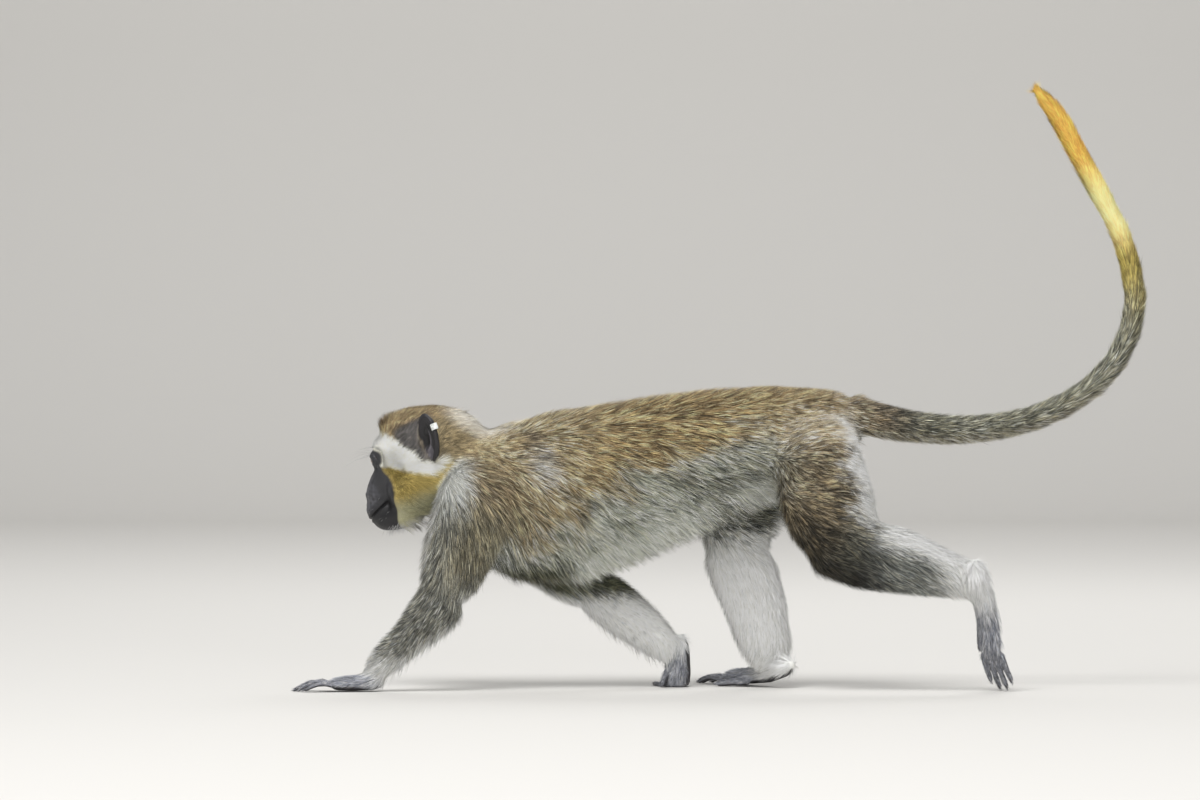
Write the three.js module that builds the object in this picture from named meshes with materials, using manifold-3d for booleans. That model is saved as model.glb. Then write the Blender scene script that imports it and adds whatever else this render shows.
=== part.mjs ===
// A walking green monkey (a vervet monkey), still and life-size, as a museum model shows it.
// Millimetres. The animal faces -X, its right side is +Y, and +Z is up. The soles stand at Z = 0.
// The solids reach out to the tips of the coat. They are parted where a person would name the parts,
// and GAP is left between neighbours.
import * as THREE from "three";
import { mergeVertices } from "three/addons/utils/BufferGeometryUtils.js";
import Module from "manifold-3d";

const wasm = await Module();
wasm.setup();

// ---- Driving dimensions -------------------------------------------------------------------------

const GAP = 0.34; // between two neighbouring solids
const HALF_SPACE = 1500; // side of the box that stands for all that lies beyond a cut
const LEFT = -1; // the sign of Y on each side of the body
const RIGHT = 1;
const SIDE_NAMES = { [LEFT]: "left", [RIGHT]: "right" };

const HEAD = { at: [-273, 2, 232], noseDown: 25, turnedRight: 22 }; // the point midway between the ear canals
const EYE = { forward: 58, aside: 15, up: 16.5, radius: 8.2 };
const TAIL = { root: [100, 0, 268], length: 585, rootRadius: 24, radius: 16.3, tipRadius: 10.8 };

// Finger and toe lengths from the first to the fourth beside the thumb or big toe.
const HAND = { palm: 38, halfWidth: 15, fingers: [37, 44, 42, 34], thumbRadius: 3.9 };
const FOOT = { palm: 74, halfWidth: 16, fingers: [35, 42, 41, 34], thumbRadius: 4.5 };

// ---- Shapes -------------------------------------------------------------------------------------

const degrees = THREE.MathUtils.degToRad;
const vector = (p) => new THREE.Vector3(...p);

/** A three.js geometry as a manifold-3d solid. */
function solid(geometry, matrix = new THREE.Matrix4()) {
  const bare = geometry.clone().applyMatrix4(matrix);
  bare.deleteAttribute("normal");
  bare.deleteAttribute("uv");
  const merged = mergeVertices(bare, 1e-3);
  const corners = new Uint32Array(merged.index.array);
  if (matrix.determinant() < 0) corners.reverse(); // a mirroring matrix turns each face round
  const vertProperties = new Float32Array(merged.attributes.position.array);
  return new wasm.Manifold(new wasm.Mesh({ numProp: 3, vertProperties, triVerts: corners }));
}

/** How much of a body's full girth is left at a share t of its length, with domes at both ends. */
function domed(t, firstDome, lastDome) {
  const short = Math.max(0, 1 - t / firstDome, 1 - (1 - t) / lastDome);
  return Math.sqrt(Math.max(0, 1 - short * short));
}

/**
 * A closed body along a smooth line. Each station is [x, y, z, depth, width]: a point of the line,
 * and half the body's depth in the plane of the line and half its width across that plane.
 * keel narrows the far side of the depth, as a chest narrows to its breastbone.
 */
function loft(stations, options = {}) {
  const { around = 14, along = 14, grow = 0, across = [0, 1, 0], keel = 0 } = options;
  const { firstDome = 0.15, lastDome = 0.15 } = options;
  const line = new THREE.CatmullRomCurve3(stations.map((s) => vector(s)), false, "centripetal");
  const girth = new THREE.SplineCurve(stations.map((s) => new THREE.Vector2(s[3], s[4])));
  const geometry = new THREE.SphereGeometry(1, around, along);
  const position = geometry.attributes.position;
  const point = new THREE.Vector3();
  for (let i = 0; i < position.count; i++) {
    point.fromBufferAttribute(position, i);
    const t = THREE.MathUtils.clamp((1 - point.y) / 2, 0, 1);
    const ring = Math.hypot(point.x, point.z);
    const [sideways, upwards] = ring > 1e-6 ? [point.x / ring, point.z / ring] : [0, 0];
    const tangent = line.getTangent(t);
    const aside = vector(across).addScaledVector(tangent, -vector(across).dot(tangent)).normalize();
    const above = tangent.clone().cross(aside);
    const size = girth.getPoint(t);
    const left = domed(t, firstDome, lastDome);
    const width = (size.y * (1 + keel * upwards * Math.abs(upwards)) + grow) * left;
    const depth = (size.x + grow) * left;
    point
      .copy(line.getPoint(t))
      .addScaledVector(tangent, grow * (2 * t - 1))
      .addScaledVector(aside, sideways * width)
      .addScaledVector(above, upwards * depth);
    position.setXYZ(i, point.x, point.y, point.z);
  }
  return solid(geometry, options.matrix);
}

/** All that lies beyond a plane, on the side that its normal points to. */
function beyond(point, normal, shift = 0) {
  const towards = vector(normal).normalize();
  const turn = new THREE.Quaternion().setFromUnitVectors(new THREE.Vector3(0, 0, 1), towards);
  const centre = vector(point).addScaledVector(towards, HALF_SPACE / 2 + shift);
  const matrix = new THREE.Matrix4().compose(centre, turn, new THREE.Vector3(1, 1, 1));
  return solid(new THREE.BoxGeometry(HALF_SPACE, HALF_SPACE, HALF_SPACE), matrix);
}

const FLOOR = beyond([0, 0, 0], [0, 0, -1]); // all that lies below the soles

/** A body cut in two at a plane: [what lies before it, what lies beyond it], GAP apart. */
function parted(body, point, normal) {
  return [
    body.subtract(beyond(point, normal, -GAP / 2)),
    body.intersect(beyond(point, normal, GAP / 2)),
  ];
}

/** A body cut at several planes in turn, each given as [point, normal]. */
function partedAlong(body, planes) {
  const pieces = [];
  for (const [point, normal] of planes) {
    const [before, after] = parted(body, point, normal);
    pieces.push(before);
    body = after;
  }
  return [...pieces, body];
}

/** The largest closed body of a cut's result, without the crumbs beside it. */
function largest(body) {
  return body.decompose().sort((a, b) => b.volume() - a.volume())[0];
}

const joined = (bodies) => bodies.reduce((all, body) => all.add(body));
const carved = (body, cutters) => cutters.reduce((left, cutter) => left.subtract(cutter), body);

/** Where a limb stands: its own axes turned by yaw (about Z), pitch (about Y) and roll (about X). */
function placed({ at, yaw = 0, pitch = 0, roll = 0 }) {
  const turn = new THREE.Euler(degrees(roll), degrees(pitch), degrees(yaw), "ZYX");
  return new THREE.Matrix4().makeRotationFromEuler(turn).setPosition(vector(at));
}

// ---- Hands and feet -----------------------------------------------------------------------------
// Their own axes: the digits point to -X, the thumb's side is inwards * Y, and the back of the hand is +Z.

/** One digit as a loft: three phalanges, each turned down by its own angle from level. */
function digit({ root, fan, length, radius, bends }, matrix, grow) {
  const shares = [0, 0.42, 0.73, 1];
  const point = vector(root);
  const stations = [[...root, radius, radius]];
  bends.forEach((bend, k) => {
    const reach = length * (shares[k + 1] - shares[k]);
    point.x -= reach * Math.cos(degrees(bend)) * Math.cos(degrees(fan));
    point.y += reach * Math.cos(degrees(bend)) * Math.sin(degrees(fan));
    point.z -= reach * Math.sin(degrees(bend));
    const thick = radius * (1 - 0.09 * (k + 1));
    stations.push([point.x, point.y, point.z, thick, thick]);
  });
  const round = { around: 6, along: 6, firstDome: 0.12, lastDome: 0.16 };
  return loft(stations, { ...round, grow, matrix });
}

/** The digits of one hand or foot, in order from the thumb or big toe outwards. */
function digitsOf(kind, inwards, pose) {
  const { palm, fingers, thumbRadius, halfWidth } = kind;
  const step = (2 * halfWidth - 1.2) / fingers.length;
  const list = fingers.map((length, k) => ({
    root: [3 - palm, -inwards * (k - 1.5) * step, pose.rootLift ?? 0],
    fan: -inwards * (k - 1.5) * pose.spread,
    length,
    radius: step / 2 - 0.25,
    bends: pose.bends,
  }));
  list.unshift({
    root: [-palm * pose.thumbAt, inwards * (halfWidth - 5.2), pose.thumbLift ?? -1],
    fan: inwards * pose.thumbFan,
    length: pose.thumbLength,
    radius: thumbRadius,
    bends: pose.thumbBends,
  });
  return list;
}

/** A whole hand or foot: its body, carved for the digits, and the digits, all with flats at the floor. */
function extremity(kind, side, body, pose) {
  const matrix = placed(pose);
  const inwards = -side;
  const digits = digitsOf(kind, inwards, pose);
  const stations = body.map(([x, z, depth, width, y = 0]) => [x, inwards * y, z, depth, width]);
  const palm = loft(stations, { around: 8, along: 7, matrix, firstDome: 0.16, lastDome: 0.12 });
  const pockets = digits.map((d) => digit(d, matrix, GAP));
  const made = digits.map((d) => digit(d, matrix, 0));
  const thumb = carved(made[0], pockets.slice(1));
  return {
    body: largest(carved(palm, [...pockets, FLOOR])),
    digits: [thumb, ...made.slice(1)].map((d) => largest(d.subtract(FLOOR))),
    whole: loft(stations, { around: 8, along: 7, matrix, grow: GAP, firstDome: 0.16, lastDome: 0.12 }),
  };
}

// ---- The body -----------------------------------------------------------------------------------

// The trunk from the front of the chest to the rump.
const TRUNK = [
  [-262, 0, 196, 44, 30],
  [-226, 0, 186.5, 70, 43],
  [-172, 0, 183.5, 84.5, 50],
  [-112, 0, 198, 79, 52],
  [-52, 0, 216, 71, 50],
  [6, 0, 233, 60, 47],
  [62, 0, 244, 50, 43],
  [104, 0, 254, 36, 32],
  [132, 0, 257, 22, 21],
];
const NECK = [
  [-158, 0, 210, 54, 42],
  [-196, 0, 211, 50.5, 41],
  [-226, 0, 212, 44, 38],
  [-250, 1, 217, 38, 36],
  [-268, 2, 224, 34, 34],
];
// Where the tail points, in degrees above level, at shares of its length.
const TAIL_HEADINGS = [
  [0, -12.5],
  [0.07, -12],
  [0.16, -6],
  [0.31, 13],
  [0.45, 39],
  [0.58, 79],
  [0.64, 99],
  [0.76, 118],
  [0.92, 119],
  [1, 134],
];

// Each limb from the body outwards, its joint with the two planes' shared tilt, and its hand or foot.
const ARMS = {
  [LEFT]: {
    upper: [
      [-226, -28, 216, 34, 18],
      [-237, -38, 190, 42, 24],
      [-250, -43, 152, 40, 23],
      [-263, -43, 114, 35, 20],
      [-272, -41, 80, 25, 16],
    ],
    lower: [
      [-262, -42, 98, 26, 17],
      [-279, -40, 77, 28, 17],
      [-303, -36, 52, 20.5, 15],
      [-327, -33, 29, 18.5, 13.5],
      [-345, -31, 11, 12, 11],
    ],
    joint: [[-270, -41, 92], [-0.5, 0, -1]],
    hand: { at: [-337, -31, 6.4], yaw: 2, pitch: 0, spread: 6, rootLift: -1.2, bends: [-13, 14, 30] },
    thumb: { thumbAt: 0.35, thumbFan: 42, thumbLift: -2.9, thumbLength: 24, thumbBends: [2, 4, 8] },
  },
  [RIGHT]: {
    upper: [
      [-226, 28, 202, 32, 18],
      [-208, 37, 168, 41, 23],
      [-178, 40, 134, 38, 22],
      [-147, 38, 108, 33, 20],
      [-118, 36, 86, 22, 15],
    ],
    lower: [
      [-140, 37, 106, 25, 16],
      [-108, 36, 80, 28, 17],
      [-79, 35, 58, 24.5, 15],
      [-60, 34, 41, 20, 13.5],
      [-46, 34, 26, 13, 11],
    ],
    joint: [[-128, 37, 97], [1, 0, -0.72]],
    hand: { at: [-44, 34, 40.8], yaw: -74, pitch: -78, spread: 8, bends: [-60, -77, -80] },
    thumb: { thumbAt: 0.5, thumbFan: 20, thumbLength: 22, thumbBends: [10, 6, 2] },
  },
};
const LEGS = {
  [LEFT]: {
    upper: [
      [80, -24, 264, 34, 18],
      [83, -35, 238, 43, 26],
      [87, -41, 206, 47, 28],
      [96, -43, 174, 48, 26],
      [104, -43, 142, 42, 22],
      [104, -43, 114, 24, 15],
    ],
    lower: [
      [70, -43, 152, 26, 16],
      [98, -43, 139, 34, 19],
      [130, -43, 132, 38, 20],
      [166, -43, 124, 34.5, 18],
      [205, -43, 113, 26, 15],
      [234, -43, 106, 22, 13.5],
      [254, -42, 101, 14, 11],
    ],
    joint: [[112, -43, 144], [0.62, 0, -1]],
    hand: { at: [246, -42, 110.3], yaw: 42, pitch: -96, spread: 2.5, bends: [14, 22, 26] },
    thumb: { thumbAt: 0.5, thumbFan: 16, thumbLength: 38, thumbBends: [6, 10, 14] },
  },
  [RIGHT]: {
    upper: [
      [72, 24, 246, 32, 18],
      [47, 35, 210, 40, 25],
      [18, 40, 174, 41, 25],
      [0, 40, 148, 35, 22],
      [-12, 40, 124, 18, 13],
    ],
    lower: [
      [-6, 40, 156, 25, 16],
      [9, 39, 128, 35, 20],
      [23, 37, 97, 36, 19],
      [30, 35, 69, 31.5, 17],
      [39, 33, 42, 29, 15.5],
      [50, 30, 12, 20, 12],
    ],
    joint: [[0, 40, 138], [0.1, 0, -1]],
    hand: { at: [54, 30, 8], yaw: -50, pitch: 0, spread: 6, rootLift: -2.5, bends: [-8, 13, 26] },
    thumb: { thumbAt: 0.42, thumbFan: 36, thumbLift: -3.2, thumbLength: 36, thumbBends: [2, 4, 8] },
  },
};
// The palm and the sole as [x, z, depth, width] from the heel forward, in the hand's or foot's own axes.
const PALM_BODY = [
  [12, 3, 7, 8],
  [-4, 2.5, 9.5, 12],
  [-22, 1.4, 8.6, 14],
  [-36, 0.4, 7.2, 14.5],
  [-42, 0, 5, 12],
];
const SOLE_BODY = [
  [20, 16, 8, 8],
  [4, 13, 13, 11],
  [-20, 6, 12.5, 12.5],
  [-44, 1.6, 10, 14],
  [-66, 0.4, 8.4, 14.5],
  [-76, 0, 5.5, 12],
];

// ---- The head, in its own axes: the nose points to -X --------------------------------------------

const CRANIUM = [
  [46, 0, -1, 6, 12],
  [33, 0, 4, 17.5, 26],
  [15, 0, 8, 29.5, 36],
  [-6, 0, 11, 37, 39.5],
  [-30, 0, 13, 41.5, 38],
  [-47, 0, 14.5, 38.5, 32],
  [-61, 0, 17.5, 26, 23],
];
const TEMPLES = [
  [24, 0, -8, 18, 32],
  [0, 0, -8, 28, 41],
  [-26, 0, -6, 29, 41],
  [-52, 0, -9, 25, 30],
];
const CHEEKS = [
  [14, 0, -17, 16, 28],
  [-8, 0, -21, 28, 40],
  [-30, 0, -24, 31.5, 41.5],
  [-50, 0, -27, 28, 34],
  [-70, 0, -31, 19, 21],
];
const MUZZLE = [
  [-42, 0, 4, 19, 25],
  [-60, 0, -4, 18.5, 22],
  [-74.5, 0, -13.5, 16.5, 18],
  [-87, 0, -24, 15.5, 14.5],
];
const JAW = [
  [-42, 0, -40, 13, 19],
  [-60, 0, -41, 13.5, 17.5],
  [-77, 0, -38.5, 12.5, 15],
  [-95, 0, -33, 10.5, 12],
];
// The lips fill the mouth's front, between the muzzle and the jaw.
const LIPS = { at: [-81, 0, -26], size: [16.8, 14, 14] };
const BROW = [
  [-40, -32, 19, 7, 7],
  [-52.5, -19, 27.5, 8, 7.5],
  [-57.5, 0, 28.5, 8, 7.5],
  [-52.5, 19, 27.5, 8, 7.5],
  [-40, 32, 19, 7, 7],
];
// The bridge of the nose runs down between the eyes from the brow to the muzzle.
const BRIDGE = { at: [-61, 0, 16], size: [12.5, 9.5, 17] };
const EAR = {
  at: [7, 39, 7], // from the head's centre, with Y outwards
  leanBack: 20, // the top leans back from the head's own vertical
  flare: 30, // the rear edge stands away from the skull
  outline: [
    [-2, 0, -25, 6.5, 2.6],
    [-1.5, 0, -14, 13, 3.6],
    [0, 0, 0, 15.5, 4],
    [0, 0, 13, 13.5, 3.8],
    [-2, 0, 25, 8, 2.6],
  ],
  bowl: { at: [1.5, 4.3, 1], size: [9.6, 4.4, 18.5] },
};

// The ear tag, in the ear's own axes.
const TAG = { side: 6, thick: 1.1, slot: 3.4, at: [12.5, 0, 11.5], turned: -14 };

// Where the trunk is cut into chest, abdomen and pelvis, and the tail into its lengths.
const TRUNK_CUTS = [
  [[-118, 0, 197], [1, 0, 0.12]],
  [[22, 0, 237], [1, 0, 0.2]],
];
const TAIL_CUTS = [
  [[212, 0, 248], [1, 0, 0]],
  [[352, 0, 282], [0.82, 0, 0.57]],
  [[399, 0, 372], [0, 0, 1]],
  [[370, 0, 463], [-0.44, 0, 0.9]],
];
// The planes of the thin cuts in the head, in its own axes, and the plane between neck and chest.
const MUZZLE_CUT = [[-60, 0, 0], [-1, 0, -0.3]];
const JAW_CUT = [[-50, 0, 0], [-1, 0, 0]];
const MOUTH = [[-80, 0, -27.5], [0, 0, -1]];
const NECK_CUT = [[-238, 0, 214], [-1, 0, 0.6]];

// ---- Making the solids --------------------------------------------------------------------------

const headMatrix = placed({ at: HEAD.at, yaw: -HEAD.turnedRight, pitch: -HEAD.noseDown });

/** All that lies beyond a plane that is given in the head's axes. */
function headBeyond([point, normal], shift = 0, sense = 1) {
  const at = vector(point).applyMatrix4(headMatrix);
  const towards = vector(normal).multiplyScalar(sense).transformDirection(headMatrix);
  return beyond(at.toArray(), towards.toArray(), shift);
}

/** The skull with its flesh and fur, before it is parted. */
function headShell(grow) {
  const options = { matrix: headMatrix, grow };
  return joined([
    loft(CRANIUM, { ...options, around: 14, along: 9, firstDome: 0.2, lastDome: 0.14 }),
    loft(TEMPLES, { ...options, around: 12, along: 6, firstDome: 0.25, lastDome: 0.22 }),
    loft(CHEEKS, { ...options, around: 12, along: 7, firstDome: 0.25, lastDome: 0.2 }),
    loft(BROW, { ...options, across: [1, 0, 0], around: 6, along: 8, firstDome: 0.2, lastDome: 0.2 }),
    loft(MUZZLE, { ...options, around: 12, along: 8, firstDome: 0.1, lastDome: 0.26 }),
    loft(JAW, { ...options, around: 10, along: 7, firstDome: 0.1, lastDome: 0.26 }),
    ...[LIPS, BRIDGE].map(({ at, size }) => ellipsoid(at, size.map((r) => r + grow), headMatrix, 12)),
  ]);
}

/** An ellipsoid in the head's axes. */
function ellipsoid(at, size, matrix, segments = 16) {
  const shape = new THREE.SphereGeometry(1, segments, Math.round(segments * 0.75));
  shape.rotateX(Math.PI / 2);
  const place = new THREE.Matrix4().makeScale(...size).setPosition(vector(at));
  return solid(shape, matrix.clone().multiply(place));
}

/** One ear's own axes: X to the rear, Y outwards from the skull, Z to the tip. */
function earMatrix(side) {
  const turn = placed({
    at: [EAR.at[0], side * EAR.at[1], EAR.at[2]],
    yaw: side * EAR.flare,
    pitch: EAR.leanBack,
  });
  const outwards = new THREE.Matrix4().makeScale(1, side, 1);
  return headMatrix.clone().multiply(turn).multiply(outwards);
}

/** An ear as a leaf with a hollow on its outer face. */
function ear(side, grow = 0) {
  const matrix = earMatrix(side);
  const options = { matrix, grow, around: 9, along: 7, firstDome: 0.16, lastDome: 0.2 };
  const leaf = loft(EAR.outline, options);
  return grow ? leaf : leaf.subtract(ellipsoid(EAR.bowl.at, EAR.bowl.size, matrix, 9));
}

/** The tag: a small plate folded over the rear rim of the left ear, with a slot for the rim. */
function earTag(grow = 0) {
  const half = TAG.side / 2 + grow;
  const deep = TAG.slot / 2 + TAG.thick + grow;
  const inner = TAG.slot / 2 - grow;
  const fold = new THREE.Shape();
  fold.moveTo(-half, -deep);
  fold.lineTo(half - deep, -deep);
  fold.absarc(half - deep, 0, deep, -Math.PI / 2, Math.PI / 2);
  fold.lineTo(-half, deep);
  fold.lineTo(-half, inner);
  fold.lineTo(half - deep, inner);
  fold.absarc(half - deep, 0, inner, Math.PI / 2, -Math.PI / 2, true);
  fold.lineTo(-half, -inner);
  const height = TAG.side + 2 * grow;
  const plate = new THREE.ExtrudeGeometry(fold, { depth: height, bevelEnabled: false, curveSegments: 4 });
  plate.translate(0, 0, -height / 2).rotateY(degrees(TAG.turned));
  plate.translate(...TAG.at);
  return solid(plate, earMatrix(LEFT));
}

/** A limb before its hand or foot, as its upper and lower halves joined. */
function limb({ upper, lower }, grow = 0) {
  const options = { grow, around: 11, along: 8, firstDome: 0.14, lastDome: 0.16 };
  return loft(upper, options).add(loft(lower, options));
}

/** The tail's line, walked from the root along its headings, with its radius at each step. */
function tail(grow = 0) {
  const steps = 18;
  const headingAt = (share) => {
    const next = TAIL_HEADINGS.findIndex(([t]) => t >= share);
    const [[t0, a0], [t1, a1]] = TAIL_HEADINGS.slice(next - 1, next + 1);
    return THREE.MathUtils.mapLinear(share, t0, t1, a0, a1);
  };
  const point = vector(TAIL.root);
  const stations = [[...point, TAIL.rootRadius, TAIL.rootRadius]];
  for (let k = 0; k < steps; k++) {
    const share = (k + 0.5) / steps;
    const heading = degrees(headingAt(share));
    point.x += (TAIL.length / steps) * Math.cos(heading);
    point.z += (TAIL.length / steps) * Math.sin(heading);
    const end = (k + 1) / steps;
    const flare = (TAIL.rootRadius - TAIL.radius) * Math.exp(-end / 0.1);
    const radius = THREE.MathUtils.lerp(TAIL.radius, TAIL.tipRadius, Math.min(1, end / 0.75)) + flare;
    stations.push([...point, radius, radius]);
  }
  return loft(stations, { grow, around: 8, along: 28, firstDome: 0.02, lastDome: 0.08 });
}

const group = new THREE.Group();
group.name = "green_monkey";

/** Adds one solid to the model as a named mesh. */
function add(name, body, [color, roughness]) {
  const { vertProperties, triVerts } = body.getMesh();
  const geometry = new THREE.BufferGeometry();
  geometry.setAttribute("position", new THREE.BufferAttribute(vertProperties, 3));
  geometry.setIndex(new THREE.BufferAttribute(triVerts, 1));
  geometry.computeVertexNormals();
  const material = new THREE.MeshStandardMaterial({ color, roughness, metalness: 0 });
  const mesh = new THREE.Mesh(geometry, material);
  mesh.name = name;
  group.add(mesh);
}

const FUR = {
  crown: [0x8f7d57, 0.85],
  back: [0x92815f, 0.85],
  flank: [0xa39a86, 0.85],
  limbs: [0x8d877d, 0.85],
  tail: [0x8b8373, 0.85],
  gold: [0xcf9f4c, 0.85],
};
const BARE_SKIN = [0x2b2829, 0.55];
const DARK_EYE = [0x3a2413, 0.1];
const TAG_WHITE = [0xe9ecea, 0.3];

// ---- Assembly -----------------------------------------------------------------------------------

const MIDLINE_CLEARANCE = 10; // how near the midline a limb's root reaches
const sideSpace = (side, shift) => beyond([0, side * (MIDLINE_CLEARANCE - shift), 0], [0, side, 0]);

// The names of the limbs' pieces, with the digits counted from the thumb or big toe.
const ARM_NAMES = {
  upper: "upper_arm",
  lower: "forearm",
  end: "hand",
  digits: ["thumb", "index_finger", "middle_finger", "ring_finger", "little_finger"],
};
const LEG_NAMES = {
  upper: "thigh",
  lower: "shank",
  end: "foot",
  digits: ["big_toe", "second_toe", "third_toe", "fourth_toe", "little_toe"],
};

const limbs = [];
for (const side of [LEFT, RIGHT]) {
  for (const [plan, kind, endBody, names] of [
    [ARMS[side], HAND, PALM_BODY, ARM_NAMES],
    [LEGS[side], FOOT, SOLE_BODY, LEG_NAMES],
  ]) {
    const end = extremity(kind, side, endBody, { ...plan.hand, ...plan.thumb });
    const [upper, lower] = parted(limb(plan).intersect(sideSpace(side, 0)), ...plan.joint);
    const pocket = limb(plan, GAP).intersect(sideSpace(side, GAP));
    limbs.push({ side, names, upper, lower, end, pocket });
  }
}
const pockets = limbs.map((one) => one.pocket);

// The head: the jaw and the muzzle are parted from the skull, and eyes and ears have pockets in it.
const eyes = [LEFT, RIGHT].map((side) => {
  const at = [-EYE.forward, side * EYE.aside, EYE.up];
  const ball = (grow) => ellipsoid(at, Array(3).fill(EYE.radius + grow), headMatrix, 12);
  const opening = ellipsoid([at[0] - 9.5, at[1] * 1.12, at[2] - 0.5], [7, 10, 7.5], headMatrix, 9);
  return { side, ball: ball(0), socket: ball(GAP).add(opening) };
});
const tag = earTag();
const ears = [LEFT, RIGHT].map((side) => ({ side, leaf: ear(side), pocket: ear(side, GAP) }));
const eyePockets = eyes.map((eye) => eye.socket);
const skull = headShell(0);
const headPocket = headShell(GAP);
const earPockets = ears.map((one) => one.pocket);
const jawZone = (shift) => headBeyond(JAW_CUT, -shift).intersect(headBeyond(MOUTH, -shift));
const muzzleZone = (shift) => headBeyond(MUZZLE_CUT, -shift).intersect(headBeyond(MOUTH, GAP - shift, -1));
const jaw = skull.intersect(jawZone(0));
const muzzle = carved(skull.intersect(muzzleZone(0)), eyePockets);
const head = carved(skull, [jawZone(GAP), muzzleZone(GAP), ...eyePockets, ...earPockets]);

// The trunk and neck, then the tail.
const trunkOptions = { around: 16, along: 14, keel: 0.16, firstDome: 0.16, lastDome: 0.08 };
const torso = loft(TRUNK, trunkOptions).add(loft(NECK, { around: 12, along: 7, lastDome: 0.12 }));
const headRoom = [headPocket, ...earPockets];
const neck = carved(torso.intersect(beyond(...NECK_CUT)), [...headRoom, ...pockets]);
const tailRoot = [[TAIL.root[0] + 16, 0, TAIL.root[2]], [1, 0, -0.2]];
const tailPieces = partedAlong(tail().intersect(beyond(...tailRoot)), TAIL_CUTS);
const tailPocket = tail(GAP).intersect(beyond(...tailRoot, -GAP));
const trunk = carved(torso, [...headRoom, beyond(...NECK_CUT, -GAP), tailPocket, ...pockets]);
const [chest, abdomen, pelvis] = partedAlong(trunk, TRUNK_CUTS);

add("head", largest(head), FUR.crown);
add("muzzle", largest(muzzle), BARE_SKIN);
add("lower_jaw", largest(jaw), BARE_SKIN);
for (const { side, ball } of eyes) add("eye_" + SIDE_NAMES[side], ball, DARK_EYE);
for (const { side, leaf } of ears) {
  const rim = side === LEFT ? leaf.subtract(earTag(GAP)) : leaf;
  add("ear_" + SIDE_NAMES[side], largest(rim), BARE_SKIN);
}
add("ear_tag", tag, TAG_WHITE);
add("neck", largest(neck), FUR.back);
add("chest", largest(chest), FUR.flank);
add("abdomen", largest(abdomen), FUR.flank);
add("pelvis", largest(pelvis), FUR.back);
["tail_root", "tail_sweep", "tail_bend"].forEach((name, k) => add(name, largest(tailPieces[k]), FUR.tail));
["tail_rise", "tail_tip"].forEach((name, k) => add(name, largest(tailPieces[3 + k]), FUR.gold));
for (const { side, names, upper, lower, end } of limbs) {
  const sided = (name) => name + "_" + SIDE_NAMES[side];
  add(sided(names.upper), largest(carved(upper, headRoom)), FUR.limbs);
  add(sided(names.lower), largest(carved(lower, [end.whole, FLOOR])), FUR.limbs);
  add(sided(names.end), end.body, BARE_SKIN);
  end.digits.forEach((body, k) => add(sided(names.digits[k]), body, BARE_SKIN));
}

// The model's own origin: the middle of its bounding box, at the floor.
const box = new THREE.Box3().setFromObject(group);
const middle = box.getCenter(new THREE.Vector3());
group.position.set(-middle.x, -middle.y, 0);

export default group;
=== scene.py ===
"""Looks of a life-size walking green monkey: skin, coat of fur tufts, eyes, nails, ear tag and stage."""

import logging
import math
from collections.abc import Sequence
from dataclasses import dataclass, field, replace
from enum import Enum

import bmesh
import bpy
import numpy as np
from mathutils import Matrix, Vector
from mathutils.bvhtree import BVHTree


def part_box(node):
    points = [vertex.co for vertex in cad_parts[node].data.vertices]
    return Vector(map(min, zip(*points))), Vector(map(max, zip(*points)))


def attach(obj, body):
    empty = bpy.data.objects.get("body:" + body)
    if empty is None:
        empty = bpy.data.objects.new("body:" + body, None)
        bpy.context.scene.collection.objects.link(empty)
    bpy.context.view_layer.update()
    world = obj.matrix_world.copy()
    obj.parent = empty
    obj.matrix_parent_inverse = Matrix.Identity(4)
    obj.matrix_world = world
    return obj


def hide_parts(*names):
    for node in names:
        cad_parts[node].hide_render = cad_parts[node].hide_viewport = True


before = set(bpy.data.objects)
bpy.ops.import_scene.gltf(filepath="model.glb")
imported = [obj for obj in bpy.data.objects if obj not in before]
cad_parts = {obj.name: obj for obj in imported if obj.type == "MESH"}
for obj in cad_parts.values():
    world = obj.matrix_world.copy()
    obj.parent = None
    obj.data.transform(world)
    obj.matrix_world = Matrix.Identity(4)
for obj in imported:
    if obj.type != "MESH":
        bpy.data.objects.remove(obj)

log = logging.getLogger("green_monkey")

MM = 0.001
LUMA = np.array((0.2, 0.7, 0.1))
MARKINGS = "Markings"
BAKE_MAP = "OFBake"
TUFT_PATCH = 0.003
FLOOR_CLEARANCE = 0.3 * MM
MERGE = 0.01 * MM
RAY_REACH = 30 * MM
UNFOLD_ANGLE = math.radians(70)
ISLAND_GAP = 0.002
LAID_SEED = 20
WHISKER_SEED = 70
MARK_SEED = 7


# ---------------------------------------------------------------- small helpers


def linear(code: str) -> np.ndarray:
    """Turns an sRGB hex colour into linear red, green and blue.

    Args:
        code: the colour, such as "#8a7a55".

    Returns:
        Three linear values from 0 to 1.
    """
    values = np.array([int(code[i : i + 2], 16) / 255 for i in (1, 3, 5)])
    return np.where(values <= 0.04045, values / 12.92, ((values + 0.055) / 1.055) ** 2.4)


def ease(low: float, high: float, value: np.ndarray) -> np.ndarray:
    """Rises smoothly from 0 at low to 1 at high.

    Args:
        low: where it starts to rise.
        high: where it reaches 1. It may be under low, and then the rise is turned round.
        value: the values to map.

    Returns:
        Weights from 0 to 1.
    """
    share = np.clip((value - low) / (high - low), 0, 1)
    return share * share * (3 - 2 * share)


def mix(first: np.ndarray, second: np.ndarray, weight: np.ndarray) -> np.ndarray:
    """Blends two colours or fields of colours, with weight 1 for all of the second."""
    return first + (second - first) * np.asarray(weight)[..., None]


def unit(vectors: np.ndarray) -> np.ndarray:
    """Scales vectors to length 1."""
    return vectors / np.maximum(np.linalg.norm(vectors, axis=-1, keepdims=True), 1e-9)


def bump(*offsets: np.ndarray) -> np.ndarray:
    """A round hump: 1 where every offset is 0, and about a third of that where one offset is 1."""
    return np.exp(-sum(offset**2 for offset in offsets))


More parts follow.
